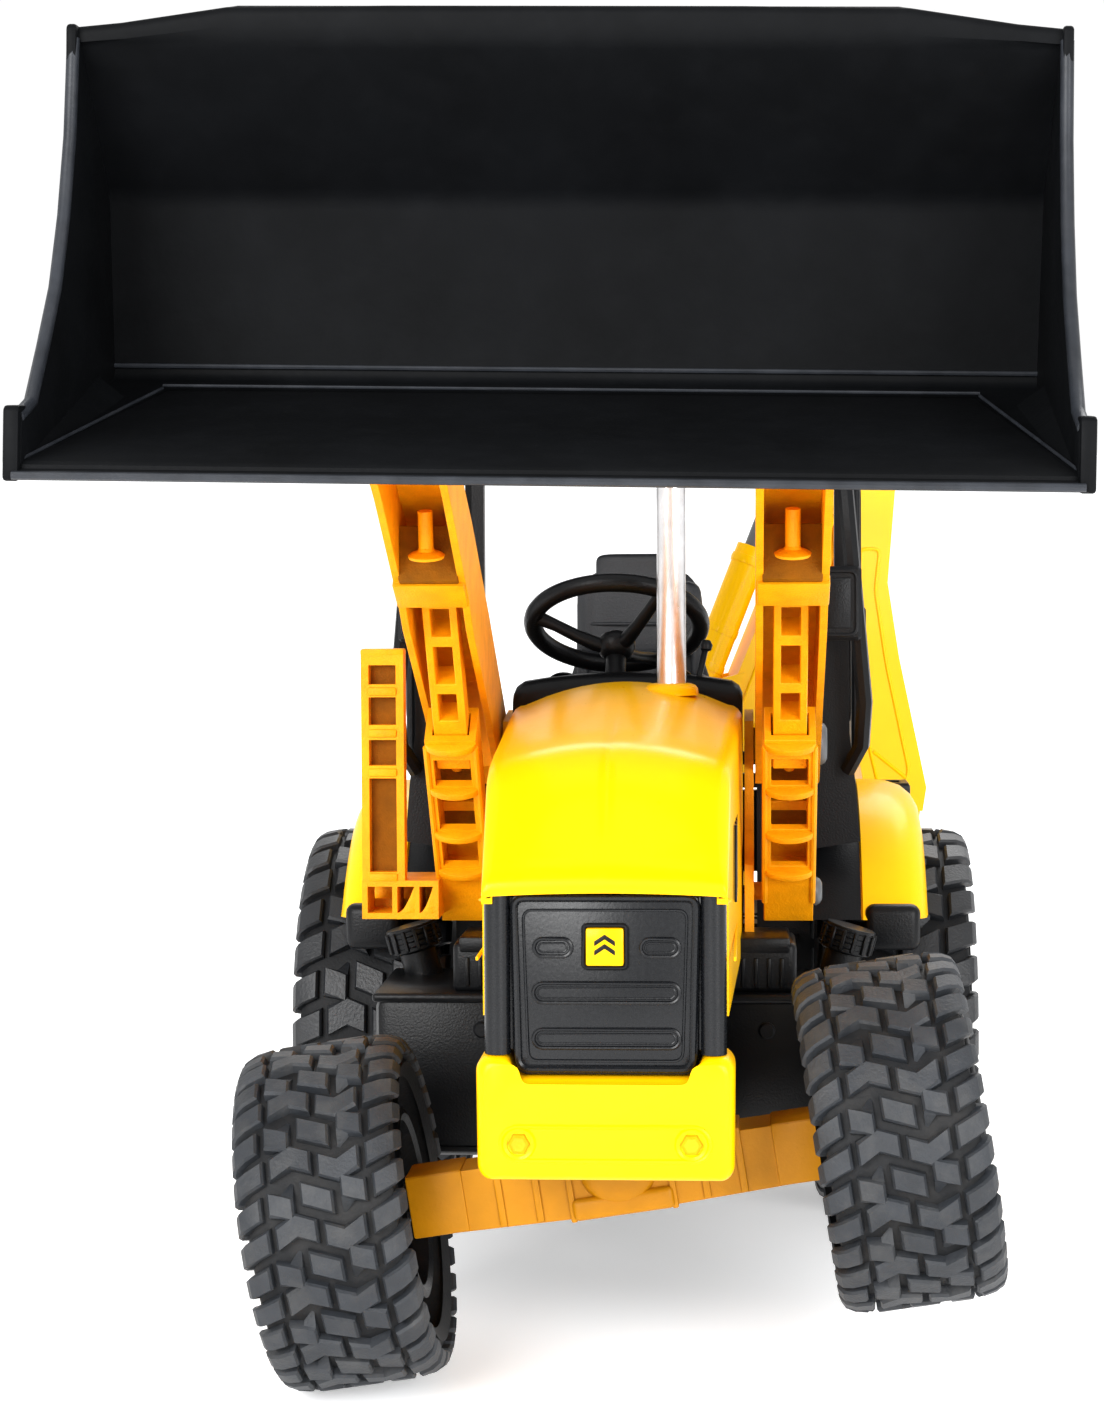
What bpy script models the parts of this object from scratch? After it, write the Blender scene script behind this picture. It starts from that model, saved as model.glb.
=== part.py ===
"""Toy backhoe loader, about 1:16, as separate moulded pieces.

Sizes are in millimetres and are scaled to metres when a mesh is made.
X runs across the machine, the loader bucket points to -Y, and +Z is up.
Y and Z are first measured from the rear axle line and from the level under the
rear tyres; ORIGIN then puts the bottom centre of the whole machine at zero.
"""
import math

import bmesh
import bpy
from mathutils import Euler, Matrix, Vector

MM = 0.001

# driving dimensions, mm
ORIGIN = (0.0, -97.1, -10.17)
WHEELBASE = 150.0
REAR_WHEEL = (49.0, 29.3, 40.0, 66.0)  # tyre radius, seat radius, width, centre X
FRONT_WHEEL = (37.0, 21.0, 36.0, 60.0)
REAR_AXLE_Z = 49.0
FRONT_AXLE_Z = 37.0
AXLE_PIVOT_Z = 46.0
AXLE_TILT = -8.8  # degrees about Y, the +X wheel stands higher
STEER = 0.0  # degrees about Z, both front wheels point straight ahead
KINGPIN_X = 41.0
BUCKET_WIDTH = 176.0
BUCKET_WALL = 2.6
BUCKET_PIVOT = (-232.0, 206.0)
ARM_X = (30.6, 46.0)
ARM_PIVOT = (-60.0, 124.0)
LIFT_FOOT = (-78.0, 90.0)
LIFT_HEAD = (-140.0, 165.0)
HOOD_HINGE = (-186.0, 82.0)
STEERING_X = -3.4
CARRIAGE_X = -10.0
KINGPOST_Y = 88.0
SWING = 15.0  # degrees from +X, 90 would be straight back
BOOM_FOOT = (16.0, 75.0)  # out from the kingpost, height
BOOM_RAM_FOOT = (28.0, 57.0)
BOOM_RAM_HEAD = (54.0, 116.0)
ELBOW = (73.5, 208.0)
DIPPER_RAM_FOOT = (24.0, 128.0)
DIPPER_RAM_HEAD = (64.0, 227.0)
BUCKET_PIN = (86.0, 82.0)

FINISH = {
    "yellow": ((0.90, 0.66, 0.02), 0.35, 0.0),
    "arm_yellow": ((0.86, 0.52, 0.02), 0.45, 0.0),
    "axle_yellow": ((0.62, 0.36, 0.03), 0.5, 0.0),
    "black": ((0.022, 0.023, 0.026), 0.5, 0.0),
    "satin_black": ((0.028, 0.03, 0.035), 0.35, 0.0),
    "seat_grey": ((0.06, 0.062, 0.066), 0.6, 0.0),
    "grey": ((0.12, 0.125, 0.13), 0.5, 0.0),
    "rubber": ((0.04, 0.042, 0.045), 0.75, 0.0),
    "chrome": ((0.75, 0.76, 0.78), 0.12, 1.0),
    "steel": ((0.55, 0.56, 0.58), 0.35, 1.0),
}

BASE = {}
FACING = {
    "X": Matrix(((0, 0, 1), (1, 0, 0), (0, 1, 0))),
    "Y": Matrix(((1, 0, 0), (0, 0, -1), (0, 1, 0))),
    "Z": Matrix.Identity(3),
}


def clear_scene():
    for obj in list(bpy.data.objects):
        bpy.data.objects.remove(obj, do_unlink=True)


def collection(name):
    found = bpy.data.collections.new(name)
    bpy.context.scene.collection.children.link(found)
    return found


def body(name, pivot, parent=None, turn=(0, 0, 0), base=None):
    """An empty on a joint's axis; pieces of that body are its children."""
    empty = bpy.data.objects.new("body_" + name, None)
    GUIDES.objects.link(empty)
    origin = Vector(BASE[parent]) if parent else Vector(ORIGIN)
    empty.location = (Vector(pivot) - origin) * MM
    empty.rotation_euler = Euler([math.radians(a) for a in turn])
    empty.empty_display_size = 0.01
    empty.hide_render = True
    if parent:
        empty.parent = bpy.data.objects["body_" + parent]
    BASE[name] = tuple(base) if base is not None else tuple(pivot)
    return name


def new_object(name, mesh, owner, where=(0, 0, 0), turn=(0, 0, 0)):
    obj = bpy.data.objects.new(name, mesh)
    PARTS.objects.link(obj)
    obj.parent = bpy.data.objects["body_" + owner]
    obj.location = (Vector(where) - Vector(BASE[owner])) * MM
    obj.rotation_euler = Euler([math.radians(a) for a in turn])
    return obj


def from_bmesh(name, bm, owner):
    bmesh.ops.scale(bm, vec=(MM, MM, MM), verts=bm.verts)
    mesh = bpy.data.meshes.new(name)
    bm.to_mesh(mesh)
    bm.free()
    return new_object(name, mesh, owner)


def block(name, low, high, owner, bevel=0.0, segments=1):
    """A box between two corners, with its edges broken."""
    bm = bmesh.new()
    bmesh.ops.create_cube(bm, size=1.0)
    low, high = Vector(low), Vector(high)
    bmesh.ops.scale(bm, vec=high - low, verts=bm.verts)
    bmesh.ops.translate(bm, vec=(low + high) / 2, verts=bm.verts)
    if bevel:
        bmesh.ops.bevel(
            bm,
            geom=bm.edges[:],
            offset=bevel,
            offset_type="OFFSET",
            segments=segments,
            profile=0.5,
            affect="EDGES",
        )
    return from_bmesh(name, bm, owner)


def rod(name, start, end, radius, owner, sides=16, radius_end=None):
    """A straight round bar between two points."""
    start, end = Vector(start), Vector(end)
    bm = bmesh.new()
    bmesh.ops.create_cone(
        bm,
        cap_ends=True,
        segments=sides,
        radius1=radius,
        radius2=radius if radius_end is None else radius_end,
        depth=(end - start).length,
    )
    turn = Vector((0, 0, 1)).rotation_difference(end - start).to_matrix()
    bmesh.ops.rotate(bm, cent=(0, 0, 0), matrix=turn, verts=bm.verts)
    bmesh.ops.translate(bm, vec=(start + end) / 2, verts=bm.verts)
    return from_bmesh(name, bm, owner)


def as_mesh(curve_obj, name, owner):
    """The curve's evaluated mesh, with its caps welded, in place of the curve."""
    graph = bpy.context.evaluated_depsgraph_get()
    mesh = bpy.data.meshes.new_from_object(curve_obj.evaluated_get(graph))
    bm = bmesh.new()
    bm.from_mesh(mesh)
    bmesh.ops.remove_doubles(bm, verts=bm.verts, dist=1e-6)
    bmesh.ops.recalc_face_normals(bm, faces=bm.faces)
    bm.to_mesh(mesh)
    bm.free()
    data = curve_obj.data
    bpy.data.objects.remove(curve_obj, do_unlink=True)
    bpy.data.curves.remove(data)
    return new_object(name, mesh, owner)


def plate(name, outline, low, high, axis, owner):
    """A flat outline given thickness from low to high along an axis."""
    curve = bpy.data.curves.new(name + "_outline", "CURVE")
    curve.dimensions = "2D"
    curve.fill_mode = "BOTH"
    curve.extrude = (high - low) / 2 * MM
    spline = curve.splines.new("POLY")
    spline.points.add(len(outline) - 1)
    for point, (a, b) in zip(spline.points, outline):
        point.co = (a * MM, b * MM, 0, 1)
    spline.use_cyclic_u = True
    holder = bpy.data.objects.new(name + "_outline", curve)
    PARTS.objects.link(holder)
    obj = as_mesh(holder, name, owner)
    middle = (high + low) / 2 * MM
    obj.data.transform(Matrix.Translation((0, 0, middle if axis != "Y" else -middle)))
    obj.data.transform(FACING[axis].to_4x4())
    return obj


def tube(name, points, radius, owner):
    """A bent round bar through the given points."""
    curve = bpy.data.curves.new(name + "_line", "CURVE")
    curve.dimensions = "3D"
    curve.bevel_depth = radius * MM
    curve.bevel_resolution = 2
    curve.use_fill_caps = True
    spline = curve.splines.new("POLY")
    spline.points.add(len(points) - 1)
    for point, p in zip(spline.points, points):
        point.co = (p[0] * MM, p[1] * MM, p[2] * MM, 1)
    holder = bpy.data.objects.new(name + "_line", curve)
    PARTS.objects.link(holder)
    return as_mesh(holder, name, owner)


def turned(name, profile, centre, owner, steps=24, turn=(0, 90, 0)):
    """A closed profile of radius and offset, turned about X or a leaning axis."""
    mesh = bpy.data.meshes.new(name)
    points = [(r * MM, 0, t * MM) for r, t in profile]
    count = len(points)
    mesh.from_pydata(points, [(i, (i + 1) % count) for i in range(count)], [])
    obj = new_object(name, mesh, owner, where=centre, turn=turn)
    screw = obj.modifiers.new("turned", "SCREW")
    screw.steps = steps
    screw.render_steps = steps
    screw.use_merge_vertices = True
    screw.merge_threshold = 1e-5
    screw.use_smooth_shade = False
    return obj


def combine(target, tools, operation):
    for tool in tools:
        step = target.modifiers.new(operation.lower(), "BOOLEAN")
        step.operation = operation
        step.solver = "EXACT"
        step.object = tool
        PARTS.objects.unlink(tool)
        CUTTERS.objects.link(tool)
        tool.hide_render = True
        tool.display_type = "WIRE"
    return target


def join(target, *tools):
    return combine(target, tools, "UNION")


def cut(target, *tools):
    return combine(target, tools, "DIFFERENCE")


def paint(obj, finish):
    colour, roughness, metallic = FINISH[finish]
    mat = bpy.data.materials.new(obj.name)
    mat.use_nodes = True
    shader = mat.node_tree.nodes["Principled BSDF"]
    shader.inputs["Base Color"].default_value = (*colour, 1)
    shader.inputs["Roughness"].default_value = roughness
    shader.inputs["Metallic"].default_value = metallic
    obj.data.materials.clear()
    obj.data.materials.append(mat)
    return obj


def mirrored(outline, side):
    """An outline in X and Z or Y, flipped for the -X side."""
    return [(side * a, b) for a, b in outline]


def span(side, near, far):
    """Low and high X of a slab from near to far on one side."""
    return (near, far) if side > 0 else (-far, -near)


def side_block(name, side, near, far, low, high, owner, bevel=0.0):
    """A box on one side, given its X distances and its Y, Z corners."""
    x0, x1 = span(side, near, far)
    return block(name, (x0, *low), (x1, *high), owner, bevel)


def side_plate(name, side, near, far, outline, owner):
    x0, x1 = span(side, near, far)
    return plate(name, outline, x0, x1, "X", owner)


# ---------------------------------------------------------------- chassis


def make_chassis():
    outline = [(-176, 74), (56, 74), (56, 34), (-118, 34), (-128, 58), (-176, 58)]
    frame = plate("chassis_frame", outline, -20, 20, "X", "chassis")
    hangers = [
        block("hanger_front", (-9, -164, 39), (9, -160, 60), "chassis"),
        block("hanger_rear", (-9, -140, 39), (9, -136, 60), "chassis"),
    ]
    join(frame, *hangers)
    bores = [
        rod("pivot_bore", (0, -170, AXLE_PIVOT_Z), (0, -130, AXLE_PIVOT_Z), 3.3, "chassis", 12),
        rod("axle_bore", (-30, 0, REAR_AXLE_Z), (30, 0, REAR_AXLE_Z), 3.5, "chassis", 12),
    ]
    paint(cut(frame, *bores), "black")
    shaft = rod("rear_axle_shaft", (-83, 0, REAR_AXLE_Z), (83, 0, REAR_AXLE_Z), 3, "chassis", 12)
    for side in (-1, 1):
        cap = rod("cap", (side * 81.6, 0, REAR_AXLE_Z), (side * 84.6, 0, REAR_AXLE_Z), 5.5, "chassis", 12)
        join(shaft, cap)
    paint(shaft, "steel")


def make_tower():
    tower = block("loader_tower", (-30, -71.5, 74.4), (30, -48.5, 77.6), "chassis")
    shape = [(-71, 75), (-86, 80), (-86, 97), (-74, 104), (-69, 130), (-52, 132), (-48.5, 112), (-48.5, 75)]
    for side in (-1, 1):
        cheek = side_plate("cheek", side, 28.0, 30.2, shape, "chassis")
        pins = [
            rod("pin", (side * 29, y, z), (side * far, y, z), r, "chassis", 14)
            for y, z, r, far in ((*ARM_PIVOT, 4.0, 47.5), (*LIFT_FOOT, 2.2, 44.6))
        ]
        join(tower, cheek, *pins)
    paint(tower, "arm_yellow")


def make_front():
    grille = block("front_grille", (-22.8, -189.6, 64.6), (22.8, -176.4, 101.0), "chassis", 1.0)
    shoulders = [
        side_block("shoulder", s, 18.6, 30, (-200, 60), (-170, 69.2), "chassis") for s in (-1, 1)
    ]
    slots = [
        block("slot", (-13.6, -195, 79.4), (13.6, -187.6, 83.0), "chassis"),
        block("slot", (-13.6, -195, 70.2), (13.6, -187.6, 74.0), "chassis"),
        block("slot", (-13.6, -195, 90.2), (-7.4, -187.6, 93), "chassis"),
        block("slot", (7.4, -195, 90.2), (13.6, -187.6, 93), "chassis"),
    ]
    paint(cut(grille, *shoulders, *slots), "black")
    bumper = block("front_bumper", (-26.4, -192, 43.2), (26.4, -176.4, 68.6), "chassis", 2.5, 2)
    notch = block("notch", (-19, -200, 64.2), (19, -170, 80), "chassis")
    recess = block("recess", (-16.5, -200, 48.8), (16.5, -190.3, 54.0), "chassis")
    cut(bumper, notch, recess)
    for side in (-1, 1):
        x = side * 17.2
        cut(bumper, rod("pocket", (x, -195, 51.2), (x, -189.2, 51.2), 3.3, "chassis", 16))
        name = "bumper_bolt_left" if side > 0 else "bumper_bolt_right"
        paint(rod(name, (x, -191.6, 51.2), (x, -189.5, 51.2), 2.5, "chassis", 6), "grey")
    paint(bumper, "yellow")
    badge = block("badge_plate", (-3.3, -190.5, 88), (3.3, -189.9, 94.6), "chassis")
    paint(badge, "yellow")


def make_tanks():
    for side, name in ((1, "side_tank_left"), (-1, "side_tank_right")):
        x0, x1 = span(side, 20.4, 58)
        tank = block(name, (x0, -100, 30), (x1, -56, 68), "chassis", 3.0, 2)
        neck = rod("neck", (side * 49, -64, 64), (side * 52.5, -64, 76), 4.6, "chassis", 16)
        cap = rod("cap", (side * 52, -64, 74), (side * 53.7, -64, 80), 6.2, "chassis", 16)
        paint(join(tank, neck, cap), "black")


def make_fenders():
    outer, inner = 62.0, 58.5
    angles = [math.radians(150 - 12 * i) for i in range(11)]
    ring = [(outer * math.cos(a), REAR_AXLE_Z + outer * math.sin(a)) for a in angles]
    back = [(inner * math.cos(a), REAR_AXLE_Z + inner * math.sin(a)) for a in angles]
    outline = ring + back[::-1]
    for side, name in ((1, "fender_left"), (-1, "fender_right")):
        paint(side_plate(name, side, 44.4, 75, outline, "chassis"), "yellow")


# ---------------------------------------------------------------- cab


def make_cab():
    cab = block("cab_frame", (-42.5, -46, 74.4), (42.5, 44, 78.4), "chassis")
    panel = [(31, 76), (43.9, 76), (43.9, 97), (56.5, 99), (55.4, 113), (51, 150), (46.6, 152), (44, 120), (31, 116.5)]
    pieces = [
        block("rail_front", (-53.5, -47.2, 112.3), (53.5, -43.4, 115.8), "chassis"),
        block("rail_rear", (-53.5, 40.2, 112.3), (53.5, 44.2, 115.8), "chassis"),
        block("roof_rail_front", (-53.8, -47.3, 192), (53.8, -43.5, 196), "chassis"),
        block("roof_rail_rear", (-53.8, 40.1, 192), (53.8, 44.1, 196), "chassis"),
    ]
    for side in (-1, 1):
        pieces += [
            side_block("wall", side, 41.5, 44, (-47, 74.6), (44.1, 114.5), "chassis"),
            side_block("rail", side, 41, 54, (-47.4, 112.2), (44.3, 116), "chassis"),
            side_block("pillar", side, 36.4, 39.4, (-47, 113), (-43, 195), "chassis"),
            side_block("post", side, 50.2, 53.9, (-47.1, 113.5), (-43.1, 195.2), "chassis"),
            side_block("rear_post", side, 45.8, 49.2, (40, 113.4), (44, 195.1), "chassis"),
            side_block("roof_rail", side, 50, 54.1, (-47.5, 191.8), (44.4, 195.8), "chassis"),
            plate("panel", mirrored(panel, side)[::side], -47.6, -44.6, "Y", "chassis"),
        ]
    paint(join(cab, *pieces), "black")
    roof = block("cab_roof", (-56, -58, 196.3), (56, 50, 206), "chassis", 3.0, 2)
    paint(roof, "black")


def make_dashboard():
    outline = [(-71, 78), (-71, 136), (-67, 141.5), (-60, 141), (-54, 132), (-52, 78)]
    dash = plate("dashboard", outline, -26, 26, "X", "chassis")
    bore = rod("bore", wheel_point(-30), wheel_point(-8), 3.1, "chassis", 12)
    paint(cut(dash, bore), "black")


def wheel_point(along):
    """A point on the steering column's axis, from the steering wheel's centre."""
    lean = math.radians(30)
    return (STEERING_X, -50 + along * math.sin(lean), 153 + along * math.cos(lean))


def make_steering_wheel():
    body("steering_wheel", wheel_point(0), "chassis")
    column = rod("steering_wheel", wheel_point(-27), wheel_point(1), 2.5, "steering_wheel", 12)
    lean = Matrix.Rotation(math.radians(-30), 3, "X")
    corners = [math.radians(-60 * i) for i in range(6)]
    profile = [(20.6 + 2.4 * math.cos(b), 2.4 * math.sin(b)) for b in corners]
    rim = turned("rim", profile, wheel_point(0), "steering_wheel", 22, (-30, 0, 0))
    spokes = []
    for angle in (90, 210, 330):
        a = math.radians(angle)
        p = lean @ Vector((19.5 * math.cos(a), 19.5 * math.sin(a), 0))
        spokes.append(rod("spoke", wheel_point(-0.5), Vector(wheel_point(0)) + p, 1.6, "steering_wheel", 8))
    hub = rod("hub", wheel_point(-4), wheel_point(2.5), 4.6, "steering_wheel", 14)
    paint(join(column, rim, *spokes, hub), "black")


def make_seat():
    base = block("seat_pedestal", (-12, -10, 78.8), (12, 14, 104), "chassis", 1.0)
    paint(join(base, rod("pin", (0, 2, 100), (0, 2, 108.5), 4, "chassis", 12)), "black")
    body("driver_seat", (0, 2, 104), "chassis")
    seat = block("driver_seat", (-20, -20, 104.6), (20, 12, 117), "driver_seat", 3.0, 2)
    rest = block("backrest", (-20.5, 8.5, 110), (20.5, 15.5, 164), "driver_seat", 2.5, 2)
    head = block("headrest", (-11.5, 9, 160), (11.5, 14.5, 170.5), "driver_seat", 2.0)
    join(seat, rest, head)
    slot = block("slot", (-15, 0, 139.8), (15, 20, 143.0), "driver_seat")
    bore = rod("bore", (0, 2, 100), (0, 2, 109), 4.4, "driver_seat", 12)
    paint(cut(seat, slot, bore), "seat_grey")


def make_doors():
    for side, name in ((1, "door_left"), (-1, "door_right")):
        body(name, (side * 55.6, 38, 150), "chassis")
        x0, x1 = span(side, 54.5, 56.7)
        door = block(name, (x0, -42, 117.5), (x1, 38, 190), name, 0.6)
        window = side_block("window", side, 50, 60, (-37, 130), (32, 185), name)
        paint(cut(door, window), "black")


def make_grab_handles():
    for side, name in ((1, "grab_handle_left"), (-1, "grab_handle_right")):
        line = [
            (side * 51.8, -50.2, 189.6),
            (side * 52.2, -55.8, 189.4),
            (side * 52.6, -58, 186),
            (side * 57.2, -58, 134),
            (side * 56.6, -56, 123.5),
            (side * 53.4, -50.6, 117),
        ]
        handle = tube(name, line, 2.0, "chassis")
        mirror = side_block("mirror", side, 44, 56.4, (-61.5, 149), (-57, 167), "chassis", 0.8)
        paint(join(handle, mirror), "black")


# ---------------------------------------------------------------- hood


def make_hood():
    body("hood", (0, *HOOD_HINGE), "chassis")
    outer = [(-190.4, 76.4), (-190.6, 101), (-189, 104.5), (-173, 127), (-168, 129.4), (-73, 137), (-73, 76.4)]
    inner = [(-200, 70), (-200, 101.6), (-187.4, 101.6), (-171.4, 124.8), (-167.2, 127), (-60, 135.6), (-60, 70)]
    hood = plate("hood", outer, -26.2, 26.2, "X", "hood")
    collar = rod("collar", (11, -85, 133), (11, -85, 139.5), 5.6, "hood", 16)
    cut(hood, plate("inside", inner, -23.6, 23.6, "X", "hood"))
    join(hood, collar)
    cut(hood, rod("hole", (11, -85, 125), (11, -85, 145), 3.8, "hood", 16))
    paint(hood, "yellow")
    pipe = rod("exhaust_pipe", (11, -85, 122), (11, -85, 205), 3.4, "hood", 16)
    bore = rod("bore", (11, -85, 150), (11, -85, 210), 2.5, "hood", 12)
    paint(cut(pipe, bore), "chrome")


# ---------------------------------------------------------------- wheels


def rim_profile(seat, half):
    """Radius and offset of a wheel: hub, web and barrel in one outline."""
    return [
        (3.3, half - 5),
        (7, half - 5),
        (7, 5),
        (seat - 4, 5),
        (seat - 3, half - 3),
        (seat - 0.3, half - 3),
        (seat - 0.3, -half + 3),
        (seat - 3, -half + 3),
        (seat - 4, 0),
        (7, 0),
        (7, -8),
        (3.3, -8),
    ]


def tyre_profile(radius, seat, half):
    return [
        (seat, half - 3),
        (seat + 4, half),
        (radius - 5, half),
        (radius - 1, half - 3.5),
        (radius, half - 8),
        (radius, -half + 8),
        (radius - 1, -half + 3.5),
        (radius - 5, -half),
        (seat + 4, -half),
        (seat, -half + 3),
    ]


def make_wheel(word, side, size, centre_y, centre_z, owner):
    radius, seat, width, x = size
    end = "left" if side > 0 else "right"
    name = body(f"{word}_wheel_{end}", (side * x, centre_y, centre_z), owner)
    centre = (side * x, centre_y, centre_z)
    profile = rim_profile(seat, width / 2)
    if side < 0:
        profile = [(r, -t) for r, t in profile][::-1]
    rim = turned(f"{word}_rim_{end}", profile, centre, name, 16)
    paint(rim, "yellow")
    tyre = turned(f"{word}_tyre_{end}", tyre_profile(radius, seat, width / 2), centre, name, 24)
    paint(tyre, "rubber")


def make_front_axle():
    y0, y1 = -WHEELBASE - 7, -WHEELBASE + 7
    body("front_axle", (0, -WHEELBASE, AXLE_PIVOT_Z), "chassis", (0, AXLE_TILT, 0))
    outline = [
        (-45, 30.6),
        (-45, 43.4),
        (-13, 43.4),
        (-8, 52.4),
        (8, 52.4),
        (13, 43.4),
        (45, 43.4),
        (45, 30.6),
        (9, 29.6),
        (-9, 29.6),
    ]
    beam = plate("front_axle_beam", outline, y0, y1, "Y", "front_axle")
    pin = rod(
        "pin",
        (0, -WHEELBASE - 16.5, AXLE_PIVOT_Z),
        (0, -WHEELBASE + 16.5, AXLE_PIVOT_Z),
        2.8,
        "front_axle",
        12,
    )
    yokes = [
        side_block("yoke", s, 36, 50, (-WHEELBASE - 20, 33.3), (-WHEELBASE + 20, 40.7), "front_axle")
        for s in (-1, 1)
    ]
    kingpins = [
        rod("kingpin", (s * KINGPIN_X, -WHEELBASE, 32), (s * KINGPIN_X, -WHEELBASE, 42), 1.6, "front_axle", 10)
        for s in (-1, 1)
    ]
    join(cut(join(beam, pin), *yokes), *kingpins)
    paint(beam, "axle_yellow")
    for side, end in ((1, "left"), (-1, "right")):
        make_knuckle(side, end)
    make_tie_rod()


def make_knuckle(side, end):
    name = f"steering_knuckle_{end}"
    body(name, (side * KINGPIN_X, -WHEELBASE, FRONT_AXLE_Z), "front_axle", (0, 0, STEER))
    x0, x1 = span(side, 37.4, 46)
    knuckle = block(name, (x0, -154, 33.8), (x1, -146, 40.2), name, 0.5)
    spindle = rod(
        "spindle", (side * 44, -150, FRONT_AXLE_Z), (side * 74, -150, FRONT_AXLE_Z), 2.8, name, 12
    )
    cap = rod("cap", (side * 73, -150, FRONT_AXLE_Z), (side * 75.4, -150, FRONT_AXLE_Z), 4.6, name, 12)
    x0, x1 = span(side, 38.5, 42.5)
    arm = block("arm", (x0, -148, 34.4), (x1, -131.5, 37.4), name)
    tip = rod("tip", (side * 40.5, -133.4, 35), (side * 40.5, -133.4, 40.6), 1.2, name, 8)
    join(knuckle, spindle, cap, arm, tip)
    bore = rod("bore", (side * KINGPIN_X, -150, 30), (side * KINGPIN_X, -150, 44), 2.0, name, 12)
    paint(cut(knuckle, bore), "grey")


def make_tie_rod():
    lean = math.radians(STEER)
    tips = []
    for side in (-1, 1):
        x, y = side * 40.5 - side * KINGPIN_X, -133.4 + WHEELBASE
        tips.append(
            (
                side * KINGPIN_X + x * math.cos(lean) - y * math.sin(lean),
                -WHEELBASE + x * math.sin(lean) + y * math.cos(lean),
            )
        )
    body("tie_rod", (0, tips[0][1], 39.2), "front_axle")
    (ax, ay), (bx, by) = tips
    link = rod("tie_rod", (ax, ay, 39.2), (bx, by, 39.2), 1.3, "tie_rod", 8)
    eyes = [rod("eye", (x, y, 38.0), (x, y, 40.4), 4.0, "tie_rod", 14) for x, y in tips]
    holes = [rod("hole", (x, y, 36), (x, y, 42), 2.7, "tie_rod", 12) for x, y in tips]
    paint(cut(join(link, *eyes), *holes), "grey")


# ---------------------------------------------------------------- loader


def make_loader_arms():
    body("loader_arms", (0, *ARM_PIVOT), "chassis")
    shape = [
        (-50.5, 121),
        (-51.5, 130),
        (-60, 134.5),
        (-100, 156),
        (-142, 177),
        (-190, 197),
        (-229, 212),
        (-236.5, 210),
        (-238, 204),
        (-233, 199.8),
        (-190, 181),
        (-150, 160),
        (-141, 153.5),
        (-100, 133.5),
        (-66, 115.2),
        (-56, 114),
    ]
    hollow = [
        (-74, 140),
        (-100, 153.9),
        (-142, 174.8),
        (-190, 194.8),
        (-222, 207),
        (-222, 150),
        (-74, 80),
    ]
    lip = [(-158, 163.9), (-149, 159.8), (-149, 164.5), (-158, 168.4)]
    for side, name in ((1, "loader_arm_left"), (-1, "loader_arm_right")):
        arm = side_plate(name, side, *ARM_X, shape, "loader_arms")
        cut(arm, side_plate("hollow", side, 32.2, 44.4, hollow, "loader_arms"))
        join(arm, side_plate("lip", side, 31, 45.6, lip, "loader_arms"))
        y, z = ARM_PIVOT
        bore = rod("bore", (side * 25, y, z), (side * 50, y, z), 4.5, "loader_arms", 14)
        y, z = BUCKET_PIVOT
        eye = rod("eye", (side * 25, y, z), (side * 50, y, z), 2.6, "loader_arms", 12)
        paint(cut(arm, bore, eye), "arm_yellow")
    cross = rod("arm_cross_tube", (-30.2, -200, 190), (30.2, -200, 190), 4.0, "loader_arms", 16)
    paint(cross, "arm_yellow")


def along_ram(foot, head, distance):
    """The point at a distance from foot along the line to head."""
    a, b = Vector(foot), Vector(head)
    return tuple(a + (b - a).normalized() * distance)


def ram_slab(name, low, high, depth, start, end, foot, head, owner, offset=0.0):
    """A slab along a ram's axis, with its depth across it, between two X values."""
    a = Vector(along_ram(foot, head, start))
    b = Vector(along_ram(foot, head, end))
    way = (b - a).normalized()
    across = Vector((-way.y, way.x))
    a, b = a + across * offset, b + across * offset
    outline = [a + across * depth, b + across * depth, b - across * depth, a - across * depth]
    return plate(name, [tuple(p) for p in outline], low, high, "X", owner)


def make_lift_rams():
    for side, end in ((1, "left"), (-1, "right")):
        body(f"lift_barrel_{end}", (0, *LIFT_FOOT), "chassis")
        owner = f"lift_barrel_{end}"
        ram = (LIFT_FOOT, LIFT_HEAD, owner)
        low, high = span(side, 32.5, 44.1)
        barrel = ram_slab(owner, low, high, 5.6, -4.5, 54, *ram)
        low, high = span(side, 34.1, 42.5)
        cutters = [ram_slab("bore", low, high, 3.7, 8, 60, *ram)]
        for start, stop in ((14, 23), (26, 37), (40, 48)):
            cutters.append(ram_slab("window", low, high, 9, start, stop, *ram))
        if side < 0:
            join(barrel, *lever_pieces(owner))
            cutters += lever_windows(owner)
        y, z = LIFT_FOOT
        cutters.append(rod("pivot", (side * 25, y, z), (side * 70, y, z), 2.7, owner, 12))
        paint(cut(barrel, *cutters), "arm_yellow")
        make_lift_rod(side, end, owner)


def lever_pieces(owner):
    return [
        block("lever_foot", (-61.5, -94, 85), (-43.5, -74, 94), owner),
        block("lever", (-61.4, -93.8, 86), (-51.4, -88.5, 148), owner),
    ]


def lever_windows(owner):
    spans = ((96, 118), (121, 127), (130.5, 137), (140, 144.5))
    holes = [block("window", (-59.6, -100, low), (-53.2, -90.4, high), owner) for low, high in spans]
    for x0, x1 in ((-60.2, -54.4), (-53.2, -49.2), (-48, -44.8)):
        holes.append(block("pocket", (x0, -100, 86.4), (x1, -80, 92.6), owner))
    return holes


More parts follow.
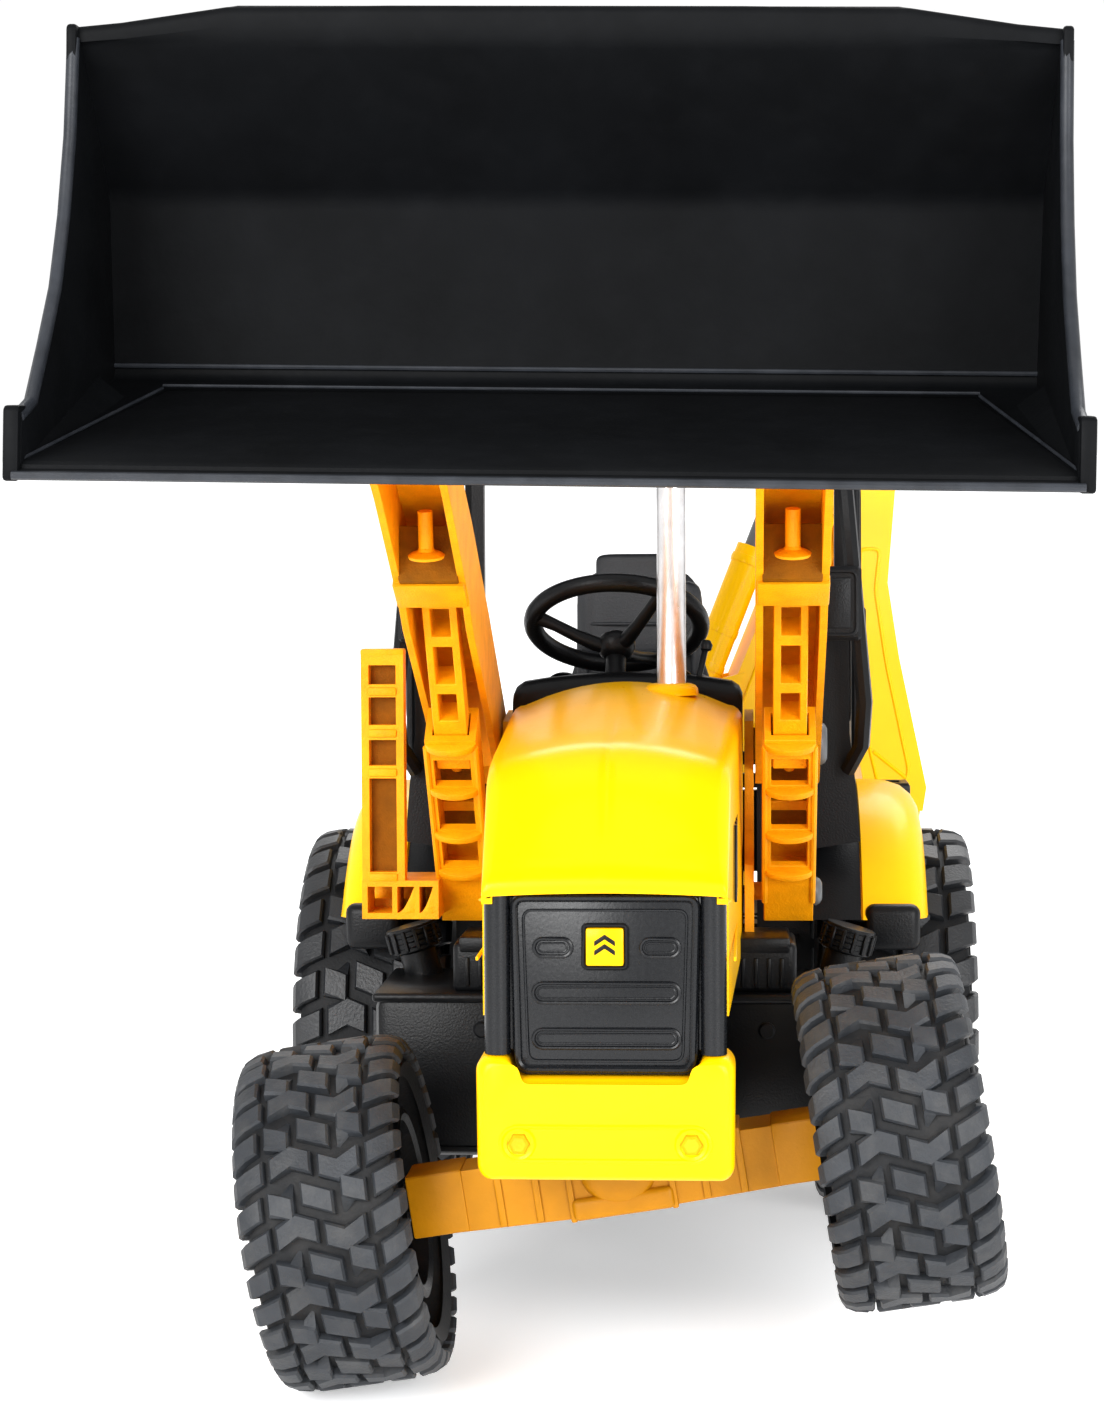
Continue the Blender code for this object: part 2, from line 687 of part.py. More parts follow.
def make_lift_rod(side, end, parent):
    owner = body(f"lift_rod_{end}", (0, *LIFT_HEAD), parent)
    ram = (LIFT_FOOT, LIFT_HEAD, owner)
    low, high = span(side, 34.5, 42.1)
    length = (Vector(LIFT_HEAD) - Vector(LIFT_FOOT)).length
    bar = ram_slab(owner, low, high, 3.3, 43, length + 2, *ram)
    low, high = span(side, 36.2, 40.4)
    windows = [
        ram_slab("window", low, high, 6, start, stop, *ram)
        for start, stop in ((58, 66), (69, 80), (83, 91))
    ]
    paint(cut(bar, *windows), "arm_yellow")


def make_front_bucket():
    body("front_bucket", (0, *BUCKET_PIVOT), "loader_arms")
    half, wall = BUCKET_WIDTH / 2, BUCKET_WALL
    band = [
        (-320, 180.4),
        (-319.4, 182.6),
        (-250, 200),
        (-247.4, 203),
        (-254, 233.5),
        (-279, 257.5),
        (-279, 263),
        (-274.4, 263),
        (-273, 257),
        (-251.2, 235.6),
        (-244.4, 199.6),
        (-246.5, 196.8),
    ]
    cheek = [
        (-319.6, 180.8),
        (-319.4, 192.6),
        (-309, 194),
        (-292, 213),
        (-281, 240),
        (-279, 258),
        (-273.4, 256),
        (-252, 235),
        (-245.2, 200),
        (-247, 197.6),
    ]
    bucket = plate("front_bucket", band, -half + 0.4, half - 0.4, "X", "front_bucket")
    ear = [(-246, 198.5), (-249.5, 222), (-236, 219), (-226.5, 209), (-227, 202), (-234, 198)]
    for side in (-1, 1):
        pieces = [side_plate("cheek", side, half - wall, half, cheek, "front_bucket")]
        for near, far in ((27.6, 30.0), (46.7, 49.1)):
            pieces.append(side_plate("ear", side, near, far, ear, "front_bucket"))
        y, z = BUCKET_PIVOT
        pieces.append(rod("pin", (side * 27, y, z), (side * 49.8, y, z), 2.1, "front_bucket", 12))
        join(bucket, *pieces)
    paint(bucket, "satin_black")


# ---------------------------------------------------------------- backhoe


def make_slide_frame():
    frame = block("backhoe_slide_frame", (-60.5, 56.4, 40), (60.5, 60.4, 104), "chassis")
    rails = [
        block("rail", (-60.4, 60, 84), (60.4, 66, 91), "chassis"),
        block("rail", (-60.4, 60, 50), (60.4, 66, 57), "chassis"),
    ]
    for side in (-1, 1):
        rails.append(side_block("leg_guide", side, 59.8, 74, (55.4, 44), (70.2, 106), "chassis"))
    join(frame, *rails)
    window = block("window", (-32, 50, 61), (32, 62, 81), "chassis")
    bores = [side_block("bore", s, 62.3, 71.7, (58.1, 30), (67.5, 120), "chassis") for s in (-1, 1)]
    paint(cut(frame, window, *bores), "black")
    for side, end in ((1, "left"), (-1, "right")):
        name = body(f"stabiliser_leg_{end}", (side * 67, 62.8, 62), "chassis")
        leg = side_block(name, side, 62.8, 71.2, (58.6, 26), (67.0, 101), name, 0.4)
        foot = side_block("foot", side, 57, 77, (53.6, 24), (72, 28.5), name, 0.8)
        paint(join(leg, foot), "arm_yellow")


def make_carriage():
    body("slide_carriage", (CARRIAGE_X, 70, 70), "chassis")
    x, y = CARRIAGE_X, KINGPOST_Y
    slide = block("slide_carriage", (x - 14, 66.4, 46), (x + 14, 74, 95), "slide_carriage", 0.6)
    pieces = [rod("pin", (x, y, 55), (x, y, 87), 3.0, "slide_carriage", 14)]
    for low, high in ((53.4, 57.8), (84.2, 88.6)):
        pieces.append(block("lug", (x - 8, 73, low), (x + 8, y, high), "slide_carriage"))
        pieces.append(rod("lug_end", (x, y, low + 0.1), (x, y, high - 0.1), 8, "slide_carriage", 16))
    paint(join(slide, *pieces), "arm_yellow")


def make_kingpost():
    body("kingpost", (CARRIAGE_X, KINGPOST_Y, 0), "slide_carriage", (0, 0, SWING), (0, 0, 0))
    post = rod("kingpost", (0, 0, 58.2), (0, 0, 83.8), 8.5, "kingpost", 20)
    cut(post, rod("bore", (0, 0, 50), (0, 0, 90), 3.5, "kingpost", 14))
    cheek = [(3, 60), (3, 82), (23, 82), (24, 70), (33, 64), (33, 50), (22, 50), (12, 60)]
    pieces = [plate("cheek", cheek, low, low + 3, "Y", "kingpost") for low in (5, -8)]
    for (u, z), radius in ((BOOM_FOOT, 2.4), (BOOM_RAM_FOOT, 1.8)):
        pieces.append(rod("pin", (u, -8.6, z), (u, 8.6, z), radius, "kingpost", 12))
    paint(join(post, *pieces), "arm_yellow")


def make_boom():
    body("boom", (BOOM_FOOT[0], 0, BOOM_FOOT[1]), "kingpost")
    shape = [
        (10, 71),
        (9.5, 78),
        (25, 108),
        (35, 134),
        (53.5, 178),
        (66, 206),
        (70, 215),
        (78, 214.5),
        (81.5, 207),
        (78, 198),
        (66, 170),
        (53, 134),
        (37, 104),
        (23, 73),
        (18, 68.5),
    ]
    boom = plate("boom", shape, -6, 6, "Y", "boom")
    for low, high in ((-10, -4.6), (4.6, 10)):
        cut(boom, plate("foot_relief", [(0, 60), (0, 87), (34, 87), (34, 60)], low, high, "Y", "boom"))
    for low, high in ((-10, -2.8), (2.8, 10)):
        shoulder = [(30, 164), (30, 240), (100, 240), (100, 164)]
        cut(boom, plate("tongue_relief", shoulder, low, high, "Y", "boom"))
    ram_lug = [(41, 112), (44, 126), (55, 121), (58.4, 116.6), (56.5, 111.5), (51, 110)]
    top_lug = [(33, 121), (37.5, 136), (27, 133.5), (20.2, 130.5), (19.6, 125.5), (24, 122)]
    pieces = []
    for low in (-6.8, 5.2):
        pieces.append(plate("ram_lug", ram_lug, low, low + 1.6, "Y", "boom"))
        pieces.append(plate("top_lug", top_lug, low, low + 1.6, "Y", "boom"))
    u, z = DIPPER_RAM_FOOT
    pieces.append(rod("pin", (u, -7, z), (u, 7, z), 1.8, "boom", 12))
    u, z = ELBOW
    pieces.append(rod("elbow_pin", (u, -6.9, z), (u, 6.9, z), 2.2, "boom", 12))
    join(boom, *pieces)
    u, z = BOOM_FOOT
    bore = rod("bore", (u, -12, z), (u, 12, z), 2.9, "boom", 12)
    paint(cut(boom, bore), "arm_yellow")


def flat(point, v=0.0):
    """A point of the boom's plane, v beside it."""
    return (point[0], v, point[1])


def make_ram(word, foot, head, barrel_end, rod_start, radius, parent, pin):
    """A ram: a barrel hinged at foot, and a rod that slides in it up to head."""
    owner = body(f"{word}_barrel", flat(foot), parent)
    barrel = rod(
        owner,
        flat(along_ram(foot, head, 7.5)),
        flat(along_ram(foot, head, barrel_end)),
        radius,
        owner,
        16,
    )
    neck = rod("neck", flat(foot), flat(along_ram(foot, head, 9)), 2.4, owner, 10)
    eye = rod("eye", flat(foot, -2.7), flat(foot, 2.7), 4.0, owner, 14)
    join(barrel, neck, eye)
    hollow = rod(
        "hollow",
        flat(along_ram(foot, head, 12.5)),
        flat(along_ram(foot, head, barrel_end + 5)),
        radius - 1.6,
        owner,
        14,
    )
    hole = rod("hole", flat(foot, -5), flat(foot, 5), pin + 0.4, owner, 12)
    paint(cut(barrel, hollow, hole), "yellow")
    rod_owner = body(f"{word}_rod", flat(head), owner)
    bar = rod(
        rod_owner, flat(along_ram(foot, head, rod_start)), flat(head), radius - 2.1, rod_owner, 12
    )
    end = rod("end", flat(head, -2.4), flat(head, 2.4), 3.4, rod_owner, 14)
    paint(join(bar, end), "grey")


def make_dipper():
    body("dipper", (ELBOW[0], 0, ELBOW[1]), "boom")
    shape = [
        (58, 226),
        (61, 232),
        (68, 232),
        (77, 221),
        (81, 212),
        (84, 192),
        (81.5, 162),
        (85, 140),
        (93.5, 101),
        (91, 86),
        (87, 76.8),
        (81.5, 77.2),
        (78, 82),
        (72.5, 110),
        (68, 150),
        (65, 180),
        (61, 203),
    ]
    dipper = plate("dipper", shape, -6, 6, "Y", "dipper")
    slot = plate("slot", [(40, 160), (40, 250), (110, 250), (110, 160)], -3.2, 3.2, "Y", "dipper")
    reliefs = [
        plate("relief", [(60, 60), (60, 94), (110, 94), (110, 60)], low, low + 6, "Y", "dipper")
        for low in (-9.6, 3.6)
    ]
    holes = [
        rod("bore", flat(ELBOW, -12), flat(ELBOW, 12), 2.7, "dipper", 12),
        rod("bore", flat(BUCKET_PIN, -12), flat(BUCKET_PIN, 12), 2.3, "dipper", 12),
    ]
    paint(cut(dipper, slot, *reliefs, *holes), "arm_yellow")


def make_backhoe_bucket():
    body("backhoe_bucket", (BUCKET_PIN[0], 0, BUCKET_PIN[1]), "dipper")
    band = [
        (79.5, 69.6),
        (92, 70.4),
        (98, 57),
        (93, 43),
        (79, 36.6),
        (65, 41),
        (65.8, 43),
        (79, 39),
        (91.2, 44.6),
        (95.4, 57),
        (90.4, 68),
        (79.5, 67.6),
    ]
    cheek = [(79.6, 69.4), (91.8, 70.2), (97.6, 57), (92.8, 43.2), (79, 37), (67, 41), (72, 55)]
    ear = [(82, 86.5), (89, 86.5), (92, 81), (92.4, 68.6), (80.4, 68.4), (80, 80)]
    bucket = plate("backhoe_bucket", band, -12.8, 12.8, "Y", "backhoe_bucket")
    pieces = []
    for low in (-13, 11):
        pieces.append(plate("cheek", cheek, low, low + 2, "Y", "backhoe_bucket"))
    for low in (-6.8, 4.2):
        pieces.append(plate("ear", ear, low, low + 2.6, "Y", "backhoe_bucket"))
    pieces.append(rod("pin", flat(BUCKET_PIN, -7), flat(BUCKET_PIN, 7), 1.8, "backhoe_bucket", 12))
    paint(join(bucket, *pieces), "satin_black")


clear_scene()
PARTS = collection("toy_backhoe_loader")
CUTTERS = collection("cutters")
GUIDES = collection("guides")
body("chassis", (0, 0, 0), base=(0, 0, 0))

make_chassis()
make_tower()
make_front()
make_tanks()
make_fenders()
make_cab()
make_dashboard()
make_steering_wheel()
make_seat()
make_doors()
make_grab_handles()
make_hood()
make_front_axle()
for hand in (-1, 1):
    make_wheel("rear", hand, REAR_WHEEL, 0, REAR_AXLE_Z, "chassis")
    knuckle_owner = "steering_knuckle_left" if hand > 0 else "steering_knuckle_right"
    make_wheel("front", hand, FRONT_WHEEL, -WHEELBASE, FRONT_AXLE_Z, knuckle_owner)
make_loader_arms()
make_lift_rams()
make_front_bucket()
make_slide_frame()
make_carriage()
make_kingpost()
make_boom()
make_ram("boom", BOOM_RAM_FOOT, BOOM_RAM_HEAD, 41.5, 34, 4.4, "kingpost", 1.8)
make_dipper()
make_ram("dipper", DIPPER_RAM_FOOT, DIPPER_RAM_HEAD, 48, 38.5, 4.9, "boom", 1.8)
make_backhoe_bucket()
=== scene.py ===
"""Looks of the toy backhoe loader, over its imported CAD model.

Sizes are millimetres from the rear axle line and the level under the rear
tyres, as in the CAD source. ROW takes them to the model's own frame, in metres.
"""

from math import atan2, copysign, cos, exp, hypot, pi, radians, sin

import bmesh
import bpy
from mathutils import Matrix, Vector


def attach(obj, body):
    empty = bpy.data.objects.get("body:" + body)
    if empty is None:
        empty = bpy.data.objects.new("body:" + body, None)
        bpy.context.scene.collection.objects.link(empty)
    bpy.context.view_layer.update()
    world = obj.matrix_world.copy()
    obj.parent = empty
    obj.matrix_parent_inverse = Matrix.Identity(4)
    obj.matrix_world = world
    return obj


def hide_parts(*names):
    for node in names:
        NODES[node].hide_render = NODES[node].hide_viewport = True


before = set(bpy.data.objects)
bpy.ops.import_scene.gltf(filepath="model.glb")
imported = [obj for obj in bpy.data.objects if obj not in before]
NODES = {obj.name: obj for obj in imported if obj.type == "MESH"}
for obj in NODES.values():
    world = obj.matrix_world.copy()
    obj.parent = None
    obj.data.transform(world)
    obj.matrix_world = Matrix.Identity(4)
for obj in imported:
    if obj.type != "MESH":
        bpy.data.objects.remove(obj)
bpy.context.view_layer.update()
ROW = Matrix.Scale(0.001, 4) @ Matrix.Translation((0, 97.1, 10.17))


def clamp(value):
    return min(1.0, max(0.0, value))


def about(pivot, degrees, axis):
    """A turn about an axis through a point."""
    move = Matrix.Translation(pivot)
    return move @ Matrix.Rotation(radians(degrees), 4, axis) @ move.inverted()


# The front axle is tilted on its pivot, and the backhoe's post stands to one side and turned.
AXLE = about((0, -150, 46), -8.8, "Y")
POST = Matrix.Translation((-10, 88, 0)) @ Matrix.Rotation(radians(15), 4, "Z")
SIDES = ((1, "left"), (-1, "right"))
FRONT_HUB = (60, -150, 37)
REAR_HUB = (66, 0, 49)
ARM_X = 38.3
ARM_PIN = (-60, 124)
LIFT_FOOT, LIFT_HEAD = (-78, 90), (-140, 165)
BUCKET_PIN = (-232, 206)
EXHAUST = (11, -85)
WHEEL_LEAN = radians(30)


# ---------------------------------------------------------------- materials


def moulded(name, colour, rough, grain=0.1, grain_mm=0.8, mottle=0.05, broad_mm=16,
            dust=None, dust_amount=0.0, metallic=0.0, specular=0.5, coat=0.0):
    """A moulded surface: broad tint drift, fine grain in bump and roughness, and dust in patches."""
    mat = bpy.data.materials.new(name)
    mat.use_nodes = True
    tree = mat.node_tree
    link = tree.links.new
    shader = tree.nodes["Principled BSDF"]

    def noise(size_mm, detail, rough_noise):
        made = tree.nodes.new("ShaderNodeTexNoise")
        made.inputs["Scale"].default_value = 1000 / size_mm
        made.inputs["Detail"].default_value = detail
        made.inputs["Roughness"].default_value = rough_noise
        link(coords.outputs["Object"], made.inputs["Vector"])
        return made.outputs["Fac"]

    def ramp(source, low, high, first, last):
        made = tree.nodes.new("ShaderNodeValToRGB")
        made.color_ramp.elements[0].position = low
        made.color_ramp.elements[1].position = high
        made.color_ramp.elements[0].color = (*first, 1)
        made.color_ramp.elements[1].color = (*last, 1)
        link(source, made.inputs["Fac"])
        return made.outputs["Color"]

    coords = tree.nodes.new("ShaderNodeTexCoord")
    broad = noise(broad_mm, 4, 0.6)
    fine = noise(grain_mm, 3, 0.55)
    dark = tuple(c * (1 - mottle) for c in colour)
    light = tuple(min(1.0, c * (1 + mottle)) for c in colour)
    tint = ramp(broad, 0.32, 0.68, dark, light)
    if dust:
        patches = ramp(noise(7, 6, 0.65), 0.46, 0.74, (0, 0, 0), (dust_amount,) * 3)
        mix = tree.nodes.new("ShaderNodeMix")
        mix.data_type = "RGBA"
        link(patches, mix.inputs["Factor"])
        link(tint, mix.inputs["A"])
        mix.inputs["B"].default_value = (*dust, 1)
        tint = mix.outputs["Result"]
    link(tint, shader.inputs["Base Color"])
    spread = tree.nodes.new("ShaderNodeMapRange")
    link(fine, spread.inputs["Value"])
    spread.inputs["To Min"].default_value = rough - 0.06
    spread.inputs["To Max"].default_value = rough + 0.06
    link(spread.outputs["Result"], shader.inputs["Roughness"])
    bump = tree.nodes.new("ShaderNodeBump")
    bump.inputs["Strength"].default_value = grain
    bump.inputs["Distance"].default_value = 0.0003
    link(fine, bump.inputs["Height"])
    link(bump.outputs["Normal"], shader.inputs["Normal"])
    shader.inputs["Metallic"].default_value = metallic
    shader.inputs["Specular IOR Level"].default_value = specular
    shader.inputs["Coat Weight"].default_value = coat
    shader.inputs["Coat Roughness"].default_value = 0.08
    return mat


YELLOW = moulded("yellow_gloss", (0.98, 0.51, 0.0), 0.3, grain=0.03, grain_mm=1.4,
                 mottle=0.03, coat=0.05, specular=0.10)
ARM = moulded("arm_yellow_grain", (0.86, 0.335, 0.001), 0.5, grain=0.55, grain_mm=0.5,
              mottle=0.12, broad_mm=7, specular=0.16)
# A darker copy of the arm plastic: painted shade for the arms' recesses, channel backs and the lever's
# windows.
ARM_SHADE = moulded("arm_recess_painted_shade", (0.20, 0.066, 0.0006), 0.6, grain=0.55,
                    grain_mm=0.5, mottle=0.2, broad_mm=5, specular=0.08)
AXLE_YELLOW = moulded("axle_ochre", (0.46, 0.185, 0.002), 0.42, grain=0.2, mottle=0.1,
                      specular=0.18)
BLACK = moulded("black_grain", (0.0032, 0.0035, 0.0042), 0.36, grain=0.3, grain_mm=0.5,
                mottle=0.18, dust=(0.018, 0.0175, 0.017), dust_amount=0.10, specular=0.17)
GLOSS_BLACK = moulded("black_satin", (0.0042, 0.0047, 0.0058), 0.27, grain=0.08,
                      mottle=0.18, specular=0.28)
BUCKET = moulded("bucket_satin", (0.0024, 0.0027, 0.0032), 0.55, grain=0.10, grain_mm=1.0,
                 mottle=0.25, broad_mm=26, dust=(0.012, 0.0125, 0.014), dust_amount=0.10, specular=0.06)
# A lighter grey than the bucket for its edge beads: painted highlight where the edges catch light, with dust
# patches.
BUCKET_EDGE_HIGHLIGHT = moulded("bucket_edge_painted_highlight", (0.014, 0.016, 0.020), 0.42, grain=0.12,
                      mottle=0.3, broad_mm=8, dust=(0.04, 0.042, 0.048), dust_amount=0.35, specular=0.26)
SEAT = moulded("seat_grey", (0.018, 0.0195, 0.023), 0.55, grain=0.35, grain_mm=0.6,
               mottle=0.1)
GREY = moulded("dark_grey", (0.09, 0.095, 0.10), 0.42, grain=0.15, mottle=0.1)
RUBBER = moulded("tyre_rubber", (0.005, 0.0055, 0.0065), 0.62, grain=0.35, grain_mm=0.7,
                 mottle=0.18, broad_mm=12, dust=(0.045, 0.040, 0.035), dust_amount=0.26, specular=0.26)
# Darker copies of the carcass and tread rubber for the rear tyres: painted shade for the lesser light on
# them. The rear tread keeps dust patches.
RUBBER_PAINTED_SHADE = moulded("rear_tyre_rubber_painted_shade", (0.0035, 0.0039, 0.0048), 0.6, grain=0.35,
                      grain_mm=0.7, mottle=0.18, broad_mm=12, specular=0.22)
TREAD_PAINTED_SHADE = moulded("rear_tread_rubber_painted_shade", (0.0085, 0.0095, 0.0115), 0.45, grain=0.45,
                     grain_mm=0.7, mottle=0.3, broad_mm=10, dust=(0.03, 0.032, 0.034), dust_amount=0.3,
                     specular=0.42)
TREAD = moulded("tread_rubber", (0.0185, 0.021, 0.025), 0.55, grain=0.45, grain_mm=0.7,
                mottle=0.22, broad_mm=10, dust=(0.07, 0.068, 0.064), dust_amount=0.36, specular=0.34)
CHROME = moulded("exhaust_chrome", (0.80, 0.80, 0.81), 0.30, grain=0.12, grain_mm=0.9,
                 mottle=0.10, broad_mm=5, dust=(0.42, 0.36, 0.30), dust_amount=0.22, metallic=0.9)
STEEL = moulded("axle_steel", (0.52, 0.53, 0.55), 0.3, grain=0.08, mottle=0.06, metallic=1.0)
COPPER = moulded("spring_copper", (0.72, 0.32, 0.14), 0.3, grain=0.05, mottle=0.08,
                 metallic=1.0)
LAMP = moulded("lamp_lens", (0.80, 0.80, 0.76), 0.16, grain=0.25, grain_mm=1.6, mottle=0.04,
               coat=0.5)
RED_LENS = moulded("tail_lens", (0.50, 0.012, 0.008), 0.18, grain=0.3, grain_mm=1.5,
                   mottle=0.06, coat=0.5)


# ---------------------------------------------------------------- shapes


def rounded(points, radius, steps=3):
    """A closed outline with its corners turned into arcs."""
    out = []
    count = len(points)
    for i in range(count):
        a, b, c = (Vector(points[(i + k) % count]) for k in (-1, 0, 1))
        reach = min(radius, (a - b).length * 0.45, (c - b).length * 0.45)
        start = b + (a - b).normalized() * reach
        end = b + (c - b).normalized() * reach
        for k in range(steps + 1):
            t = k / steps
            out.append(tuple(start * (1 - t) ** 2 + b * 2 * t * (1 - t) + end * t * t))
    return out


def rectangle(left, low, right, high):
    return [(left, low), (right, low), (right, high), (left, high)]


def mirrored(half):
    """A closed outline from the points of its right half."""
    (x, z), *rest = half
    return [(-x, z)] + half + [(-x, z) for x, z in rest[::-1]]


def turns(count):
    """Angles in equal steps round a circle."""
    return [2 * pi * k / count for k in range(count)]


def bridge(bm, rows, closed=True):
    """Quads between neighbouring rows of vertices."""
    count = len(rows[0])
    for a, b in zip(rows, rows[1:]):
        for i in range(count if closed else count - 1):
            j = (i + 1) % count
            bm.faces.new((a[i], a[j], b[j], b[i]))


def spin_frame(direction):
    """The turn that takes Z to a direction."""
    return Vector((0, 0, 1)).rotation_difference(Vector(direction)).to_matrix().to_4x4()


class Shape:
    """Solids gathered into one piece, in millimetres."""

    def __init__(self, place=None):
        self.bm = bmesh.new()
        self.place = place or Matrix.Identity(4)

    def add(self, bm, matrix=None):
        """Takes a finished solid into the piece."""
        if matrix is not None:
            bmesh.ops.transform(bm, matrix=matrix, verts=bm.verts)
        mesh = bpy.data.meshes.new("part")
        bm.to_mesh(mesh)
        bm.free()
        self.bm.from_mesh(mesh)
        bpy.data.meshes.remove(mesh)

    def soften(self, bm, bevel, segments):
        """A bevel along every edge sharper than 30 degrees."""
        if bevel:
            limit = radians(30)
            edges = [e for e in bm.edges if len(e.link_faces) == 2 and e.calc_face_angle(0) > limit]
            bmesh.ops.bevel(bm, geom=edges, offset=bevel, offset_type="OFFSET", segments=segments,
                            profile=0.5, affect="EDGES", clamp_overlap=True)

    def box(self, corner, far_corner, bevel=0.5, segments=2, turn=None):
        bm = bmesh.new()
        bmesh.ops.create_cube(bm, size=1.0)
        low, high = (Vector(map(pick, corner, far_corner)) for pick in (min, max))
        bmesh.ops.scale(bm, vec=high - low, verts=bm.verts)
        bmesh.ops.translate(bm, vec=(low + high) / 2, verts=bm.verts)
        self.soften(bm, bevel, segments)
        self.add(bm, turn)

    def loft(self, rings, closed=True, bevel=0.0, turn=None, loop=False):
        """Rows of points joined by quads; closed joins each row's ends, loop the last row and the first."""
        bm = bmesh.new()
        rows = [[bm.verts.new(p) for p in ring] for ring in rings]
        bridge(bm, rows + rows[:1] if loop else rows, closed)
        if closed and not loop:
            bm.faces.new(rows[0][::-1])
            bm.faces.new(rows[-1])
        bmesh.ops.remove_doubles(bm, verts=bm.verts, dist=1e-4)
        bmesh.ops.recalc_face_normals(bm, faces=bm.faces)
        self.soften(bm, bevel, 2)
        self.add(bm, turn)

    def prism(self, outline, start, end, axis="X", bevel=0.5):
        """A flat outline given thickness along X or Y."""
        spot = {"X": lambda u, v, t: (t, u, v), "Y": lambda u, v, t: (u, t, v)}[axis]
        rings = [[spot(u, v, t) for u, v in outline] for t in sorted((start, end))]
        self.loft(rings, bevel=bevel)

    def lathe(self, profile, centre, direction, steps=40, closed=False, turn=None):
        """A profile of radius and distance along the direction, spun about it."""
        rings = [[(r * cos(a), r * sin(a), t) for r, t in profile] for a in turns(steps)]
        place = Matrix.Translation(centre) @ spin_frame(direction)
        place = turn @ place if turn else place
        self.loft(rings, closed=closed, loop=True, turn=place)

    def rod(self, start, end, radius, end_radius=None, bevel=0.4):
        """A round bar with softened ends, straight or tapered."""
        start, end = Vector(start), Vector(end)
        length = (end - start).length
        last = radius if end_radius is None else end_radius
        soft = min(bevel, radius * 0.4, length * 0.3)
        profile = [(0, 0), (radius - soft, 0), (radius, soft),
                   (last, length - soft), (last - soft, length), (0, length)]
        self.lathe(profile, start, end - start, 24)

    def tube(self, points, radius, steps=12, cyclic=False):
        """A round bar bent through points, of one radius or a radius for each point."""
        points = [Vector(p) for p in points]
        count = len(points)
        rings, up = [], None
        for i, p in enumerate(points):
            before = points[i - 1] if i or cyclic else p
            after = points[(i + 1) % count] if i < count - 1 or cyclic else p
            way = (after - before).normalized()
            up = way.orthogonal().normalized() if up is None else (up - way * up.dot(way)).normalized()
            side = way.cross(up)
            wide = radius[i] if isinstance(radius, list) else radius
            rings.append([p + (up * cos(a) + side * sin(a)) * wide for a in turns(steps)])
        self.loft(rings, loop=cyclic)

    def bead(self, points, radius, steps=8):
        """A thin round bar bent round a closed line."""
        self.tube(points, radius, steps, cyclic=True)

    def slot_ring(self, x0, x1, z0, z1, y, radius):
        """A thin bead round a long slot with round ends, facing -Y."""
        half = (z1 - z0) / 2
        mid = (z0 + z1) / 2
        line = []
        for x, first in ((x1 - half, pi / 2), (x0 + half, -pi / 2)):
            for a in (first - pi * k / 16 for k in range(17)):
                line.append((x + half * cos(a), y, mid + half * sin(a)))
        self.bead(line, radius)

    def finish(self, name, body, mat, replaces=(), angle=38):
        """The piece as an object of its own, riding on a body, in the material given, hiding the CAD nodes it
        replaces.
        """
        bm = self.bm
        bmesh.ops.transform(bm, matrix=ROW @ self.place, verts=bm.verts)
        limit = radians(angle)
        for face in bm.faces:
            face.smooth = True
        for edge in bm.edges:
            if len(edge.link_faces) != 2 or edge.calc_face_angle(0) > limit:
                edge.smooth = False
        mesh = bpy.data.meshes.new(name)
        bm.to_mesh(mesh)
        bm.free()
        mesh.materials.append(mat)
        obj = bpy.data.objects.new(name, mesh)
        bpy.context.scene.collection.objects.link(obj)
        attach(obj, body)
        if replaces:
            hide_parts(*replaces)
        return obj


def break_edges(obj, width, angle):
    """A narrow bevel on every edge sharper than an angle."""
    edge = obj.modifiers.new("edges", "BEVEL")
    edge.width = width * 0.001
    edge.segments = 2
    edge.limit_method = "ANGLE"
    edge.angle_limit = radians(angle)
    return edge


def keep(name, mat, bevel=0.5):
    """A CAD node shown as it is, with its edges broken and a moulded finish."""
    obj = NODES[name]
    mesh = obj.data
    normals = mesh.attributes.get("custom_normal")
    if normals:
        mesh.attributes.remove(normals)
    mesh.polygons.foreach_set("use_smooth", [True] * len(mesh.polygons))
    mesh.materials.clear()
    mesh.materials.append(mat)
    weld = obj.modifiers.new("weld", "WELD")
    weld.merge_threshold = 3e-6
    flat = obj.modifiers.new("flat", "DECIMATE")
    flat.decimate_type = "DISSOLVE"
    flat.angle_limit = radians(0.6)
    edge = break_edges(obj, bevel, 35)
    edge.harden_normals = True
    edge.use_clamp_overlap = True


# ---------------------------------------------------------------- wheels

# The rear tyres take darker copies of the rubber than the front ones, as painted shade.
TREADS = {"front": TREAD, "rear": TREAD_PAINTED_SHADE}
CARCASSES = {"front": RUBBER, "rear": RUBBER_PAINTED_SHADE}


def shoulder(radius, half):
    """The tread's outer line over one half: distance round it, offset from the middle, radius."""
    line = [(0, radius), (half - 8, radius), (half - 4.4, radius - 0.4), (half - 2.0, radius - 1.1),
            (half - 0.7, radius - 2.3), (half - 0.1, radius - 4.4), (half, radius - 8), (half, radius - 14)]
    run, out = 0.0, [(0.0, *line[0])]
    for (x0, r0), (x1, r1) in zip(line, line[1:]):
        run += hypot(x1 - x0, r1 - r0)
        out.append((run, x1, r1))
    return out


def on_line(line, u, depth):
    """The point u round the tread's outer line and depth below it."""
    side, u = (1 if u >= 0 else -1), abs(u)
    for (u0, x0, r0), (u1, x1, r1) in zip(line, line[1:]):
        if u <= u1 or (u1, x1, r1) == line[-1]:
            t = (u - u0) / (u1 - u0)
            way = Vector((x1 - x0, r1 - r0)).normalized()
            return side * (x0 + (x1 - x0) * t + way.y * depth), r0 + (r1 - r0) * t - way.x * depth


